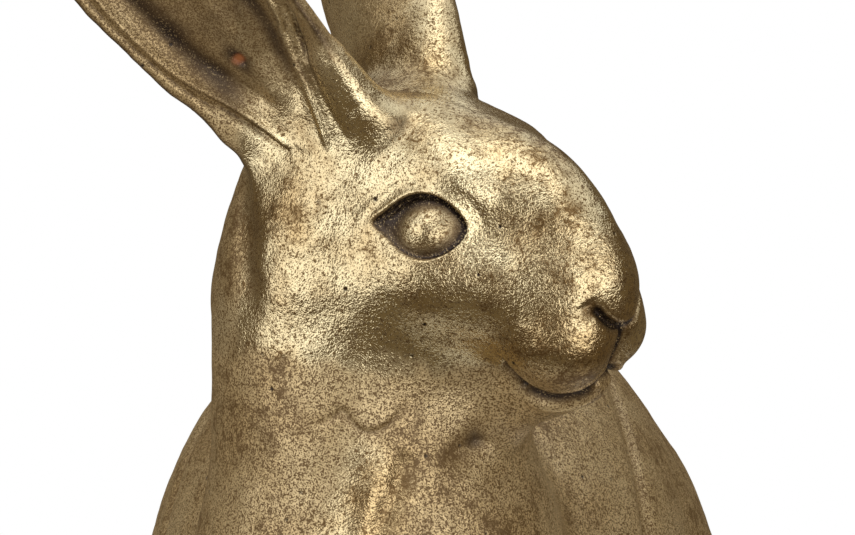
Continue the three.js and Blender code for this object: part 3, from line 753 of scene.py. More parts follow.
def bare(places):
    """Where the leaf has flaked off and the cast resin shows."""
    own = into_ear(into_head(places))
    half, _ = ear_shares(own[:, 2])
    flat = ((own[:, 0] - EAR_CHIP[0] * half) / 2.0) ** 2 + ((own[:, 2] - EAR_CHIP[1]) / 1.3) ** 2
    return np.where(np.abs(own[:, 1] + 4) < 4, np.exp(-(flat**2)), 0.0)


# Meshing
# Cells along the side of a block, which is worked out whole or not at all
BLOCK = 4
# How far out and in a place looks to tell how sunk and how proud it is, in mm, and what each look counts for
REACHES = ((0.8, 0.4), (2.0, 0.35), (5.0, 0.25))
# A face with more corners than this closes a cut, and stays flat
CAP_CORNERS = 8


def sampled(field, low, high, step):
    """Values of the field on a grid, worked out only in blocks that the surface may cross."""
    blocks = np.ceil((high - low) / (step * BLOCK)).astype(int)
    coarse = [low[a] + np.arange(blocks[a] + 1) * step * BLOCK for a in range(3)]
    corners = np.stack(np.meshgrid(*coarse, indexing="ij"), -1).reshape(-1, 3)
    rough = in_parts(field, corners).reshape(blocks + 1)
    nearest = np.full(blocks, np.inf)
    for corner in np.ndindex(2, 2, 2):
        cut = tuple(slice(c, blocks[a] + c) for a, c in enumerate(corner))
        nearest = np.minimum(nearest, np.abs(rough[cut]))
    # A block that the surface crosses has a corner nearer to it than this
    near = nearest < step * BLOCK * 1.4 + 1.5
    counts = blocks * BLOCK + 1
    values = np.ones(counts, np.float32)
    mask = np.zeros(counts, bool)
    fill = np.repeat(np.repeat(np.repeat(rough[:-1, :-1, :-1], BLOCK, 0), BLOCK, 1), BLOCK, 2)
    values[:-1, :-1, :-1] = np.where(fill < 0, -9.0, 9.0)
    wide = np.repeat(np.repeat(np.repeat(near, BLOCK, 0), BLOCK, 1), BLOCK, 2)
    for corner in np.ndindex(2, 2, 2):
        mask[tuple(slice(c, c + n) for c, n in zip(corner, wide.shape))] |= wide
    nodes = np.argwhere(mask)
    values[mask] = in_parts(field, low + nodes * step)
    return values


def net(values, low, step):
    """Quads of the zero surface: one point in each cell that it crosses, one face across each edge."""
    inside = values < 0
    sizes = np.array(values.shape) - 1
    count = np.zeros(sizes, np.int8)
    for corner in np.ndindex(2, 2, 2):
        count += inside[tuple(slice(c, c + n) for c, n in zip(corner, sizes))]
    active = (count > 0) & (count < 8)
    number = np.full(sizes, -1, np.int64)
    cells = np.argwhere(active)
    number[active] = np.arange(len(cells))
    total = np.zeros((len(cells), 3))
    hits = np.zeros(len(cells))
    for axis in range(3):
        others = [a for a in range(3) if a != axis]
        for j, k in np.ndindex(2, 2):
            start = np.zeros(3, int)
            start[others[0]] = j
            start[others[1]] = k
            end = start.copy()
            end[axis] = 1
            a = values[tuple((cells + start).T)]
            b = values[tuple((cells + end).T)]
            cross = (a < 0) != (b < 0)
            share = np.where(cross, a / np.where(cross, a - b, 1.0), 0.0)
            spot = start + share[:, None] * (end - start)
            total += np.where(cross[:, None], spot, 0.0)
            hits += cross
    points = low + (cells + total / hits[:, None]) * step
    faces = []
    for axis in range(3):
        j, k = (axis + 1) % 3, (axis + 2) % 3
        first = np.moveaxis(inside, axis, 0)[:-1]
        second = np.moveaxis(inside, axis, 0)[1:]
        changed = np.argwhere(np.moveaxis(first != second, 0, axis))
        keep = ((changed[:, j] > 0) & (changed[:, k] > 0)
                & (changed[:, j] < sizes[j]) & (changed[:, k] < sizes[k]))
        changed = changed[keep]
        step_j, step_k = np.eye(3, dtype=int)[[j, k]]
        ring = [changed - step_j - step_k, changed - step_k, changed, changed - step_j]
        quads = np.stack([number[tuple(cell.T)] for cell in ring], 1)
        outward = inside[tuple(changed.T)]
        faces.append(np.where(outward[:, None], quads, quads[:, ::-1]))
    return points, np.concatenate(faces)


def evened(field, points, faces, step):
    """Points spread evenly over the surface, and back on it."""
    points = settle(field, points, 1, step)
    pairs = np.concatenate([faces[:, [0, 1]], faces[:, [1, 2]], faces[:, [2, 3]], faces[:, [3, 0]]])
    weight = np.bincount(pairs[:, 0], minlength=len(points))
    for _ in range(2):
        mean = np.stack([np.bincount(pairs[:, 0], points[pairs[:, 1], a], len(points)) for a in range(3)], 1)
        mean /= np.maximum(weight, 1)[:, None]
        points = settle(field, points + 0.5 * (mean - points), 1, step)
    return settle(field, points, 1, step)


def bmesh_of(points, faces):
    """The points and faces as a mesh that can be cut."""
    mesh = bpy.data.meshes.new("draft")
    mesh.vertices.add(len(points))
    mesh.vertices.foreach_set("co", points.ravel())
    mesh.loops.add(faces.size)
    mesh.loops.foreach_set("vertex_index", faces.ravel())
    mesh.polygons.add(len(faces))
    mesh.polygons.foreach_set("loop_start", np.arange(0, faces.size, faces.shape[1]))
    mesh.update()
    body = bmesh.new()
    body.from_mesh(mesh)
    bpy.data.meshes.remove(mesh)
    return body


def cut_away(body, point, normal):
    """Takes off what lies beyond a plane and closes the cut with a flat face."""
    geometry = body.verts[:] + body.edges[:] + body.faces[:]
    bmesh.ops.bisect_plane(body, geom=geometry, dist=1e-4, plane_co=point, plane_no=normal, clear_outer=True)
    rims = [edge for edge in body.edges if edge.is_boundary]
    bmesh.ops.holes_fill(body, edges=rims, sides=0)


def drop_scraps(body):
    """Keeps only the largest of the mesh's separate shells."""
    left = set(body.verts)
    shells = []
    while left:
        shell = [left.pop()]
        for vertex in shell:
            for edge in vertex.link_edges:
                other = edge.other_vert(vertex)
                if other in left:
                    left.remove(other)
                    shell.append(other)
        shells.append(shell)
    largest = max(shells, key=len)
    scraps = [vertex for shell in shells if shell is not largest for vertex in shell]
    bmesh.ops.delete(body, geom=scraps, context="VERTS")


# From the sculpture to the row frame, by where the board lies
board_low, board_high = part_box("base_board")
board_middle = np.array((board_low + board_high) / 2) / MM
ROW_SHIFT = np.array([board_middle[0], board_middle[1] - seat_at[1], 0])


def mark_surface(mesh, field, points, normals):
    """Writes on each point how sunk and how proud it is, its glaze and painted shade, and where it is flaked
    or matt.
    """
    sunk = np.zeros(len(points))
    proud = np.zeros(len(points))
    for reach, share in REACHES:
        sunk += share * np.clip(1.0 - in_parts(field, points + normals * reach) / reach, 0.0, 1.0)
        proud += share * np.clip(1.0 + in_parts(field, points - normals * reach) / reach, 0.0, 1.0)
    marks = {"sunk": sunk, "proud": proud, "glaze_and_painted_shade": in_parts(glaze_and_painted_shade, points), "bare": in_parts(bare, points),
             "matt": in_parts(dulled, points)}
    for label, values in marks.items():
        mesh.attributes.new(label, "FLOAT", "POINT").data.foreach_set("value", values.astype(np.float32))


def corner_normals(mesh, normals):
    """The surface's normal at each corner of each face, and the face's own where it closes a cut."""
    totals = np.zeros(len(mesh.polygons), int)
    owners = np.zeros(len(mesh.loops), int)
    flat = np.zeros(len(mesh.polygons) * 3)
    mesh.polygons.foreach_get("loop_total", totals)
    mesh.polygons.foreach_get("normal", flat)
    mesh.loops.foreach_get("vertex_index", owners)
    at_corners = normals[owners]
    cap = np.repeat(totals > CAP_CORNERS, totals)
    at_corners[cap] = np.repeat(flat.reshape(-1, 3), totals, axis=0)[cap]
    return at_corners


def finish_piece(name, body, field, material):
    """The mesh as an object in the row frame, with the surface's true normals and its marks."""
    mesh = bpy.data.meshes.new(name)
    body.to_mesh(mesh)
    body.free()
    points = np.zeros(len(mesh.vertices) * 3)
    mesh.vertices.foreach_get("co", points)
    points = points.reshape(-1, 3)
    normals = slope_of(field, points)
    normals /= np.maximum(np.linalg.norm(normals, axis=1), 1e-9)[:, None]
    mark_surface(mesh, field, points, normals)
    at_corners = corner_normals(mesh, normals)
    mesh.vertices.foreach_set("co", ((points + ROW_SHIFT) * MM).ravel())
    mesh.polygons.foreach_set("use_smooth", np.ones(len(mesh.polygons), bool))
    mesh.update()
    mesh.normals_split_custom_set(at_corners)
    mesh.materials.append(material)
    piece = bpy.data.objects.new(name, mesh)
    bpy.context.scene.collection.objects.link(piece)
    return piece


# Pieces
def meshed(field, room, step):
    """Points and faces of the field's surface in a box."""
    low, high = np.array(room, float)
    points, faces = net(sampled(field, low, high, step), low, step)
    return evened(field, points, faces, step), faces


def head_piece(material):
    """Head casting, from its seat on the neck up to where the ears begin."""
    body = bmesh_of(*meshed(figure, HEAD_ROOM, HEAD_STEP))
    cut_away(body, SEAT_POINT, -SEAT_NORMAL)
    for side in (1, -1):
        root, axes = ear_axes(side)
        cut_away(body, out_of_head(root + axes[2] * EAR_CUT), axes[2] @ HEAD_AXES)
    drop_scraps(body)
    return finish_piece("head", body, figure, material)


def ear_piece(name, side, material):
    """Ear above the plane that it is joined on, meshed along its own axes."""
    root, axes = ear_axes(side)
    world_axes = axes @ HEAD_AXES
    world_root = out_of_head(root)

    def place(own):
        return own @ world_axes + world_root

    def own_field(own):
        return figure(place(own))

    points, faces = meshed(own_field, EAR_ROOM, EAR_STEP)
    if side < 0:
        faces = faces[:, ::-1]
    body = bmesh_of(place(points), faces)
    cut_away(body, world_root + world_axes[2] * EAR_CUT, -world_axes[2])
    drop_scraps(body)
    return finish_piece(name, body, figure, material)


def body_field(places):
    """The figure below the seat of the head, flat underneath, with the rebate that the board closes."""
    narrowed = np.sqrt(1 - ((seat_at[2] - UNDERSIDE) / seat_radii[2]) ** 2)
    half = narrowed * seat_radii[:2] - BOARD_RIM + JOINT_GAP
    across = (places[:, :2] - seat_at[:2]) / half
    oval = (np.linalg.norm(across, axis=1) - 1.0) * half.min()
    rebate = np.maximum(oval, places[:, 2] - UNDERSIDE - BOARD_THICKNESS - JOINT_GAP)
    field = keep_both(figure(places), UNDERSIDE - places[:, 2], 1.0)
    return keep_both(field, -rebate, 0.8)


def body_piece(material):
    """Body casting up to the seat of the head."""
    body = bmesh_of(*meshed(body_field, BODY_ROOM, BODY_STEP))
    cut_away(body, SEAT_POINT, SEAT_NORMAL)
    drop_scraps(body)
    refine_front(body)
    return finish_piece("body", body, body_field, material)


def refine_front(body):
    """Finer faces over the breast and neck, where the carved lines are."""
    def shown(edge):
        middle = (edge.verts[0].co + edge.verts[1].co) / 2
        whole = len(edge.link_faces) == 2 and all(len(face.verts) <= CAP_CORNERS for face in edge.link_faces)
        return whole and middle.z > FRONT_ABOVE and middle.y < FRONT_BEFORE

    edges = [edge for edge in body.edges if shown(edge)]
    bmesh.ops.subdivide_edges(body, edges=edges, cuts=1, use_grid_fill=True)
    fresh = [v for v in body.verts if v.co.z > FRONT_ABOVE - 2 and v.co.y < FRONT_BEFORE + 2]
    level = np.array([(np.array(v.co) - SEAT_POINT) @ SEAT_NORMAL for v in fresh])
    spots = settle(body_field, np.array([v.co for v in fresh]), 2, BODY_STEP)
    for vertex, spot, height in zip(fresh, spots, level):
        if height < -0.01:
            vertex.co = spot


def rump_level():
    """How far back the rump reaches, at the level of the tail."""
    spot = np.array([[0, BEHIND_RUMP, TAIL_LEVEL]], float)
    for _ in range(FEELING_STEPS):
        spot[0, 1] -= masses(spot)[0] * FEELING_SHARE
    return spot[0, 1]


TAIL_CENTRE = np.array([0, rump_level() + TAIL_PROUD, TAIL_LEVEL])


def tail_fur(places):
    """A ball of upright wavy locks of fur, set off from the rump."""
    tousled = lumps(places, 9, 5)
    wave = 0.58 * places[:, 0] + 1.3 * np.sin(0.2 * places[:, 2]) + 0.8 * tousled
    strands = np.sin(1.7 * places[:, 0] + 2.0 * np.sin(0.24 * places[:, 2]) + 1.6 * tousled)
    locks = 1.0 * (1.0 - np.abs(np.sin(wave))) ** 1.5 + 0.32 * strands
    ball = ellipsoid(places, TAIL_CENTRE, TAIL_BALL) + locks - 0.5
    return keep_both(ball, -(figure(places) + 1.0), 1.0)


def tail_piece(material):
    """Tail with its fur, the locks ending where they would reach too far."""
    def field(places):
        return keep_both(ellipsoid(places, TAIL_CENTRE, TAIL_REACH), tail_fur(places), 0.4)

    body = bmesh_of(*meshed(field, (TAIL_CENTRE - TAIL_ROOM, TAIL_CENTRE + TAIL_ROOM), TAIL_STEP))
    drop_scraps(body)
    return finish_piece("tail_tuft", body, field, material)


# Materials
def tint(code):
    """Linear colour of an sRGB hex value."""
    parts = [int(code[i:i + 2], 16) / 255 for i in (1, 3, 5)]
    return [p / 12.92 if p <= 0.04045 else ((p + 0.055) / 1.055) ** 2.4 for p in parts] + [1.0]


def per_mm(size):
    """Scale of a pattern whose grain is that many mm wide."""
    return 1.0 / (size * MM)


def add(tree, kind, settings=None, links=None):
    """A node with its settings, by attribute or socket, and what feeds it."""
    node = tree.nodes.new("ShaderNode" + kind)
    for name, value in (settings or {}).items():
        if isinstance(name, str) and hasattr(node, name):
            setattr(node, name, value)
        else:
            node.inputs[name].default_value = value
    for name, source in (links or {}).items():
        tree.links.new(source, node.inputs[name])
    return node


def new_material(name):
    """An empty material and its tree."""
    material = bpy.data.materials.new(name)
    material.use_nodes = True
    tree = material.node_tree
    tree.nodes.clear()
    return material, tree


def brass_leaf():
    """Brass leaf laid by hand on cast resin, then rubbed with brown glaze: bright broken highlights on a fine
    grit, olive and brown clouds, cracks and pinholes, and dark purple-brown where glaze stayed in hollows,
    deepened with painted shade in the carved lines and round the eyes."""
    pale = tint("#E8DAB2")
    deep = tint("#C6AE82")
    dust = tint("#D2B581")
    glaze = tint("#6E5531")
    old_glaze = tint("#33271F")
    resin = tint("#A8683C")
    burnished = 0.13
    material, tree = new_material("brass_leaf_antiqued")
    place = add(tree, "TexCoord").outputs["Object"]
    sunk, proud, glaze_and_shade, flaked, dabbed = (
        add(tree, "Attribute", {"attribute_name": label}).outputs["Fac"]
        for label in ("sunk", "proud", "glaze_and_painted_shade", "bare", "matt"))
    matt = add(tree, "Math", {"operation": "MULTIPLY_ADD", "use_clamp": True, 1: 0.6},
               {0: glaze_and_shade, 2: dabbed}).outputs[0]

    # Clouds, blotches and grit; the leaf's finest sparkle is drawn at 0.4 mm, as coarse as it needs to show
    cloud = add(tree, "TexNoise", {"Scale": per_mm(24), "Detail": 4.0, "Roughness": 0.6},
                {"Vector": place}).outputs["Fac"]
    blotches = add(tree, "TexNoise",
                   {"Scale": per_mm(5), "Detail": 5.0, "Roughness": 0.68, "Distortion": 0.4},
                   {"Vector": place})
    blotch = blotches.outputs["Fac"]
    grit = add(tree, "TexNoise", {"Scale": per_mm(0.9), "Detail": 2.0, "Roughness": 0.65},
               {"Vector": place}).outputs["Fac"]
    fine = add(tree, "TexNoise", {"Scale": per_mm(0.4), "Detail": 1.0, "Roughness": 0.5},
               {"Vector": place}).outputs["Fac"]

    # Cracks round plates of leaf about 2 mm across, in some of the clouds
    wobble = add(tree, "VectorMath", {"operation": "MULTIPLY_ADD", 1: (2.4 * MM, 2.4 * MM, 2.4 * MM)},
                 {0: blotches.outputs["Color"], 2: place}).outputs[0]
    edge = add(tree, "TexVoronoi", {"feature": "DISTANCE_TO_EDGE", "Scale": per_mm(2.0)},
               {"Vector": wobble}).outputs["Distance"]
    crack = add(tree, "MapRange", {"From Min": 0.09, "From Max": 0.02, "To Max": 0.6},
                {"Value": edge}).outputs[0]
    crazed = add(tree, "MapRange", {"From Min": 0.46, "From Max": 0.58}, {"Value": cloud}).outputs[0]
    cracks = add(tree, "Math", {"operation": "MULTIPLY"}, {0: crack, 1: crazed}).outputs[0]

    # Pinholes: a small dark spot in a few cells of 3.4 mm
    cell = add(tree, "TexVoronoi", {"Scale": per_mm(3.4), "Randomness": 1.0}, {"Vector": place})
    chosen = add(tree, "MapRange", {"From Min": 0.78, "From Max": 0.84},
                 {"Value": cell.outputs["Color"]}).outputs[0]
    spot = add(tree, "MapRange", {"From Min": 0.2, "From Max": 0.08},
               {"Value": cell.outputs["Distance"]}).outputs[0]
    pinhole = add(tree, "Math", {"operation": "MULTIPLY"}, {0: chosen, 1: spot}).outputs[0]

    # Glaze that breaks up with the clouds and in specks, and is rubbed off what stands proud
    clouded = add(tree, "MapRange", {"From Min": 0.5, "From Max": 0.62, "To Max": 0.75},
                  {"Value": blotch}).outputs[0]
    heavy = add(tree, "MapRange", {"From Min": 0.44, "From Max": 0.6, "To Min": 0.25},
                {"Value": cloud}).outputs[0]
    veil = add(tree, "Math", {"operation": "MULTIPLY"}, {0: clouded, 1: heavy}).outputs[0]
    freckle = add(tree, "MapRange", {"From Min": 0.56, "From Max": 0.64, "To Max": 0.9},
                  {"Value": grit}).outputs[0]
    speck = add(tree, "MapRange", {"From Min": 0.56, "From Max": 0.66, "To Max": 0.8},
                {"Value": fine}).outputs[0]
    grains = add(tree, "Math", {"operation": "ADD"}, {0: freckle, 1: speck}).outputs[0]
    lined = add(tree, "Math", {"operation": "ADD"}, {0: cracks, 1: grains}).outputs[0]
    broken = add(tree, "Math", {"operation": "ADD"}, {0: veil, 1: lined}).outputs[0]
    rubbed = add(tree, "MapRange", {"From Min": 0.05, "From Max": 0.4, "To Min": 1.0, "To Max": 0.35},
                 {"Value": proud}).outputs[0]
    kept = add(tree, "Math", {"operation": "MULTIPLY"}, {0: broken, 1: rubbed}).outputs[0]

    # Glaze in dots where the leaf is matt, and all over in the hollows, thickest where deepest; plus painted
    # shade in lines and eyes
    dotted = add(tree, "MapRange", {"From Min": 0.47, "From Max": 0.6, "To Max": 0.75},
                 {"Value": fine}).outputs[0]
    dots = add(tree, "Math", {"operation": "MULTIPLY"}, {0: dotted, 1: matt}).outputs[0]
    laid_on = add(tree, "Math", {"operation": "ADD"}, {0: kept, 1: dots}).outputs[0]
    deep_in = add(tree, "MapRange", {"From Min": 0.2, "From Max": 0.6, "To Max": 0.9},
                  {"Value": sunk}).outputs[0]
    hollow_glaze_and_shade = add(tree, "Math", {"operation": "ADD"}, {0: deep_in, 1: glaze_and_shade}).outputs[0]
    glaze_and_shade_cover = add(tree, "Math", {"operation": "ADD", "use_clamp": True}, {0: laid_on, 1: hollow_glaze_and_shade}).outputs[0]
    thick_glaze_and_shade = add(tree, "MapRange", {"From Min": 0.35, "From Max": 1.0}, {"Value": hollow_glaze_and_shade}).outputs[0]
    glint = add(tree, "MapRange", {"From Min": 0.6, "From Max": 0.66, "To Max": 0.55},
                {"Value": fine}).outputs[0]
    bright_grain = add(tree, "Math", {"operation": "MULTIPLY"}, {0: glint, 1: hollow_glaze_and_shade}).outputs[0]

    # Colour: the leaf, then each thing that lies over it; the glaze colours also paint shade in lines and
    # eyes
    thin = add(tree, "MapRange", {"From Min": 0.36, "From Max": 0.64}, {"Value": cloud}).outputs[0]
    film = add(tree, "Math", {"operation": "MULTIPLY", 1: 0.65}, {0: matt}).outputs[0]
    colour = add(tree, "Mix", {"data_type": "RGBA", 6: pale, 7: deep}, {0: thin}).outputs[2]
    for over, amount in ((dust, film), (glaze, glaze_and_shade_cover), (old_glaze, thick_glaze_and_shade), (deep, bright_grain),
                         (old_glaze, pinhole), (resin, flaked)):
        colour = add(tree, "Mix", {"data_type": "RGBA", 7: over}, {0: amount, 6: colour}).outputs[2]

    # Surface: soft lumps of the leaf, the two sizes of grit on them, and the pinholes
    lumpy = add(tree, "Bump", {"Strength": 0.5, "Distance": 0.42 * MM}, {"Height": blotch}).outputs[0]
    gritty = add(tree, "Bump", {"Strength": 0.6, "Distance": 0.27 * MM},
                 {"Height": grit, "Normal": lumpy}).outputs[0]
    sandy = add(tree, "Bump", {"Strength": 0.6, "Distance": 0.16 * MM},
                {"Height": fine, "Normal": gritty}).outputs[0]
    holed = add(tree, "Bump", {"Strength": 0.6, "Distance": 0.3 * MM, "invert": True},
                {"Height": pinhole, "Normal": sandy}).outputs[0]

    # Gloss: less where glaze or dust lies, and no metal where the resin is bare
    worn = add(tree, "MapRange", {"To Min": burnished, "To Max": burnished + 0.2},
               {"Value": glaze_and_shade_cover}).outputs[0]
    dull = add(tree, "Math", {"operation": "MULTIPLY_ADD", 1: 0.16}, {0: matt, 2: worn}).outputs[0]
    sound = add(tree, "MapRange", {"From Min": 0.2, "From Max": 1.0, "To Min": 1.0, "To Max": 0.75},
                {"Value": glaze_and_shade_cover}).outputs[0]
    clean = add(tree, "MapRange", {"To Min": 1.0, "To Max": 0.4}, {"Value": matt}).outputs[0]
    metal = add(tree, "Math", {"operation": "MULTIPLY"}, {0: sound, 1: clean}).outputs[0]
    covered = add(tree, "Math", {"operation": "SUBTRACT", 0: 1.0}, {1: flaked}).outputs[0]
    leafed = add(tree, "Math", {"operation": "MULTIPLY"}, {0: metal, 1: covered}).outputs[0]
    shader = add(tree, "BsdfPrincipled", {},
                 {"Base Color": colour, "Roughness": dull, "Metallic": leafed, "Normal": holed})
    add(tree, "OutputMaterial", {}, {"Surface": shader.outputs[0]})
    return material


def beech_dowel():
    """Turned beech: pale pinkish wood with fine darker flecks along the grain."""
    material, tree = new_material("beech_turned")
    place = add(tree, "TexCoord").outputs["Object"]
    along = add(tree, "Mapping", {"Scale": (1.0, 1.0, 0.12)}, {"Vector": place}).outputs[0]
    grain = add(tree, "TexNoise", {"Scale": per_mm(1.4), "Detail": 4.0}, {"Vector": along})
    colour = add(tree, "Mix", {"data_type": "RGBA", 6: tint("#CFA877"), 7: tint("#A87C4E")},
                 {0: grain.outputs["Fac"]})
    relief = add(tree, "Bump", {"Strength": 0.2, "Distance": 0.1 * MM}, {"Height": grain.outputs["Fac"]})
    shader = add(tree, "BsdfPrincipled", {"Roughness": 0.6},
                 {"Base Color": colour.outputs[2], "Normal": relief.outputs[0]})
    add(tree, "OutputMaterial", {}, {"Surface": shader.outputs[0]})
    return material


def hardboard():
    """Pressed hardboard, stained brown: matt, with short fibres that lie every way."""
    material, tree = new_material("hardboard_stained")
    place = add(tree, "TexCoord").outputs["Object"]
    fibre = add(tree, "TexNoise", {"Scale": per_mm(0.9), "Detail": 5.0, "Roughness": 0.7, "Distortion": 1.5},
                {"Vector": place})
    patch = add(tree, "TexNoise", {"Scale": per_mm(22), "Detail": 2.0}, {"Vector": place})
    shade = add(tree, "Mix", {"data_type": "RGBA", 6: tint("#5E4128"), 7: tint("#8A6642")},
                {0: fibre.outputs["Fac"]})
    colour = add(tree, "Mix", {"data_type": "RGBA", "blend_type": "MULTIPLY", 0: 0.35},
                 {6: shade.outputs[2], 7: patch.outputs["Color"]})
    relief = add(tree, "Bump", {"Strength": 0.4, "Distance": 0.15 * MM}, {"Height": fibre.outputs["Fac"]})
    shader = add(tree, "BsdfPrincipled", {"Roughness": 0.82},
                 {"Base Color": colour.outputs[2], "Normal": relief.outputs[0]})
    add(tree, "OutputMaterial", {}, {"Surface": shader.outputs[0]})
    return material


def felt():
    """Needled wool felt, almost black: no gloss, with a soft nap of tangled fibres."""
    material, tree = new_material("felt_needled")
    place = add(tree, "TexCoord").outputs["Object"]
    nap = add(tree, "TexNoise", {"Scale": per_mm(0.5), "Detail": 3.0, "Distortion": 2.0}, {"Vector": place})
    colour = add(tree, "Mix", {"data_type": "RGBA", 6: tint("#1D1C1B"), 7: tint("#3A3835")},
                 {0: nap.outputs["Fac"]})
    relief = add(tree, "Bump", {"Strength": 0.7, "Distance": 0.3 * MM}, {"Height": nap.outputs["Fac"]})
    shader = add(tree, "BsdfPrincipled", {"Roughness": 0.95, "Sheen Weight": 0.3},
                 {"Base Color": colour.outputs[2], "Normal": relief.outputs[0]})
    add(tree, "OutputMaterial", {}, {"Surface": shader.outputs[0]})
    return material


def drawn_steel():
    """Drawn steel wire: grey, its gloss broken by marks of the die too fine to follow one by one."""
    material, tree = new_material("steel_drawn")
    place = add(tree, "TexCoord").outputs["Object"]
    marks = add(tree, "TexNoise", {"Scale": per_mm(0.4), "Detail": 2.0}, {"Vector": place})
    dull = add(tree, "MapRange", {"To Min": 0.25, "To Max": 0.42}, {"Value": marks.outputs["Fac"]})
    relief = add(tree, "Bump", {"Strength": 0.15, "Distance": 0.05 * MM}, {"Height": marks.outputs["Fac"]})
    shader = add(tree, "BsdfPrincipled", {"Base Color": tint("#B9BBBD"), "Metallic": 1.0},
                 {"Roughness": dull.outputs[0], "Normal": relief.outputs[0]})
    add(tree, "OutputMaterial", {}, {"Surface": shader.outputs[0]})
    return material


def dress_cad_nodes():
    """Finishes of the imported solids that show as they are: board, dowel, pins and pads."""
    finishes = {"base_board": hardboard(), "neck_dowel": beech_dowel()}
    wool = felt()
    wire = drawn_steel()
    for name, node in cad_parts.items():
        if name.endswith("_pad"):
            finishes[name] = wool
        if name.endswith("_pin"):
            finishes[name] = wire
        if name in finishes:
            node.data.materials.clear()
            node.data.materials.append(finishes[name])


# Studio: white all round for the camera, dark cloth round and below for the metal, three lamps, and a small
# pale floor under the pads
FLOOR_RADIUS = 0.225
CLOTH_DISTANCE = 1.9
CURTAIN_FOOT = -0.6
CURTAIN_TOP = 1.35
CURTAIN_START = -172
CURTAIN_FOLDS = 54
ROUNDS = 96
# Each lamp: azimuth and elevation from the camera's side, width and height in m, and power in W
LAMPS = {
    "key_left": (-61, 10, 0.93, 1.0, 4.3),
    "fill_right": (27, 5, 1.43, 0.77, 6.7),
    "top": (-15, 68, 0.9, 1.0, 3.7),
}
LAMP_DISTANCE = 1.1


def photo_axes():
    """The picture's right and up, and the way back to the camera."""
    azimuth, elevation = radians(PHOTO_AZIMUTH), radians(PHOTO_ELEVATION)
    back = np.array([sin(azimuth) * cos(elevation), -cos(azimuth) * cos(elevation), sin(elevation)])
    right = np.array([cos(azimuth), sin(azimuth), 0])
    return right, np.cross(back, right), back


def make_camera():
    """The camera of the photograph."""
    right, up, back = photo_axes()
    head = HEAD_ORIGIN + ROW_SHIFT
    aim = head - HEAD_PIXEL[0] * PIXEL * right - HEAD_PIXEL[1] * PIXEL * up
    data = bpy.data.cameras.new("camera")
    data.sensor_width = SENSOR
    data.lens = SENSOR * PHOTO_DISTANCE / PIXEL / PHOTO_WIDTH
    data.clip_start = 0.01
    data.clip_end = 50
    camera = bpy.data.objects.new("camera", data)
    turn = Matrix(np.array([right, up, back]).T.tolist())
    camera.matrix_world = Matrix.Translation(Vector((aim + PHOTO_DISTANCE * back) * MM)) @ turn.to_4x4()
    bpy.context.scene.collection.objects.link(camera)
    bpy.context.scene.camera = camera


def make_world():
    """White for what the camera and the metal see of it, dimmer as light on everything."""
    world = bpy.data.worlds.new("studio")
    world.use_nodes = True
    tree = world.node_tree
    tree.nodes.clear()
    path = add(tree, "LightPath")
    camera_or_gloss = add(tree, "Math", {"operation": "MAXIMUM"},
                          {0: path.outputs["Is Camera Ray"], 1: path.outputs["Is Glossy Ray"]})
    seen = add(tree, "Math", {"operation": "MAXIMUM"},
               {0: camera_or_gloss.outputs[0], 1: path.outputs["Is Transmission Ray"]})
    room = add(tree, "Background", {"Color": tint("#FFFFFF"), "Strength": 0.65})
    backdrop = add(tree, "Background", {"Color": tint("#FFFFFF"), "Strength": 1.0})
    mixed = add(tree, "MixShader", {}, {0: seen.outputs[0], 1: room.outputs[0], 2: backdrop.outputs[0]})
    add(tree, "OutputWorld", {}, {"Surface": mixed.outputs[0]})
    bpy.context.scene.world = world


def stage_mesh(name, points, faces, material, seen=True):
    """A piece of the studio, which the camera may look through."""
    mesh = bpy.data.meshes.new(name)
    mesh.from_pydata(points, [], faces)
    mesh.materials.append(material)
    thing = bpy.data.objects.new(name, mesh)
    bpy.context.scene.collection.objects.link(thing)
    thing.visible_camera = seen


def floor_material(radius):
    """Matt white board that thins out to nothing at its rim."""
    material, tree = new_material("floor_board")
    place = add(tree, "TexCoord").outputs["Object"]
    from_middle = add(tree, "VectorMath", {"operation": "LENGTH"}, {0: place}).outputs["Value"]
    fade = add(tree, "MapRange", {"interpolation_type": "SMOOTHSTEP", "From Min": radius * 0.6,
                                  "From Max": radius * 0.98}, {"Value": from_middle}).outputs[0]
    board = add(tree, "BsdfDiffuse", {"Color": tint("#F0EFED")})
    gone = add(tree, "BsdfTransparent")
    mixed = add(tree, "MixShader", {}, {0: fade, 1: board.outputs[0], 2: gone.outputs[0]})
    add(tree, "OutputMaterial", {}, {"Surface": mixed.outputs[0]})
    return material


def dark_cloth():
    """Brown cloth with an even glow, which the metal shows as its darker side."""
    material, tree = new_material("flag_cloth")
    shader = add(tree, "Emission", {"Color": tint("#6D5E47"), "Strength": 1.0})
    add(tree, "OutputMaterial", {}, {"Surface": shader.outputs[0]})
    return material


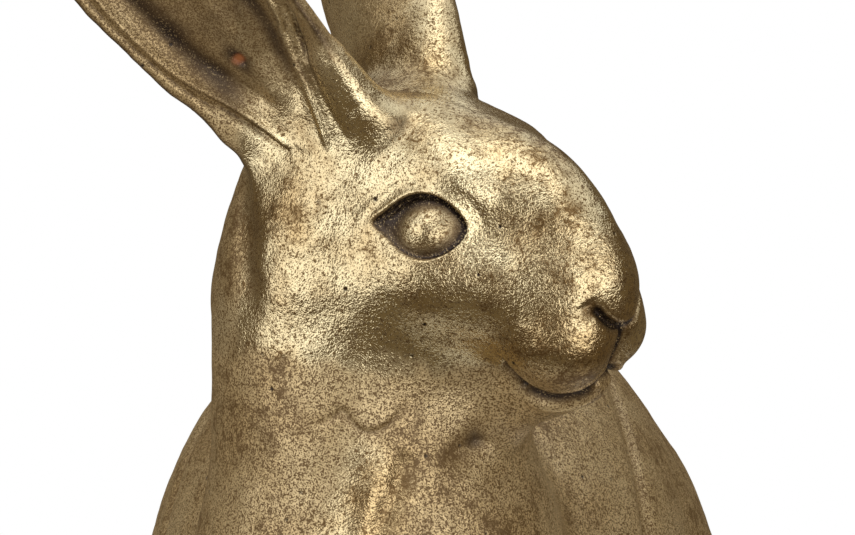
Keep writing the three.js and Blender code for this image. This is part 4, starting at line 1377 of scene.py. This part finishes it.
def disc(name, radius, level, material, seen=True):
    """A flat round piece of the studio."""
    turns = [2 * pi * i / ROUNDS for i in range(ROUNDS)]
    rim = [(radius * cos(turn), radius * sin(turn), level) for turn in turns]
    stage_mesh(name, rim, [tuple(range(ROUNDS))], material, seen)


def make_stage():
    """The floor, and the dark cloth that stands all round and lies on the ground."""
    disc("floor", FLOOR_RADIUS, 0.0, floor_material(FLOOR_RADIUS))
    cloth = dark_cloth()
    points = []
    for i in range(CURTAIN_FOLDS + 1):
        azimuth = radians(PHOTO_AZIMUTH + CURTAIN_START + 360 * i / CURTAIN_FOLDS)
        for z in (CURTAIN_FOOT, CURTAIN_TOP):
            points.append((CLOTH_DISTANCE * sin(azimuth), -CLOTH_DISTANCE * cos(azimuth), z))
    faces = [(2 * i, 2 * i + 1, 2 * i + 3, 2 * i + 2) for i in range(CURTAIN_FOLDS)]
    stage_mesh("flag_curtain", points, faces, cloth, seen=False)
    disc("flag_ground", CLOTH_DISTANCE, -0.01, cloth, seen=False)


def softbox(name, azimuth, elevation, width, height, power):
    """A rectangular lamp at that azimuth and elevation from the camera's side, aimed at the head."""
    aim = Vector((HEAD_ORIGIN + ROW_SHIFT) * MM)
    a, e = radians(PHOTO_AZIMUTH + azimuth), radians(elevation)
    away = Vector((sin(a) * cos(e), -cos(a) * cos(e), sin(e)))
    data = bpy.data.lights.new(name, "AREA")
    data.shape = "RECTANGLE"
    data.size = width
    data.size_y = height
    data.energy = power
    lamp = bpy.data.objects.new(name, data)
    lamp.location = aim + away * LAMP_DISTANCE
    lamp.rotation_mode = "QUATERNION"
    lamp.rotation_quaternion = away.to_track_quat("Z", "Y")
    bpy.context.scene.collection.objects.link(lamp)


# Make everything
leaf = brass_leaf()

pieces = {
    "body_casting": body_piece(leaf),
    "head_casting": head_piece(leaf),
    "left_ear": ear_piece("left_ear_blade", 1, leaf),
    "right_ear": ear_piece("right_ear_blade", -1, leaf),
    "tail": tail_piece(leaf),
}
for node_name, piece in pieces.items():
    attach(piece, "root")
    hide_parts(node_name)

dress_cad_nodes()
make_stage()
for lamp_name, setting in LAMPS.items():
    softbox(lamp_name, *setting)
make_world()
make_camera()
bpy.context.scene.view_settings.view_transform = "Standard"
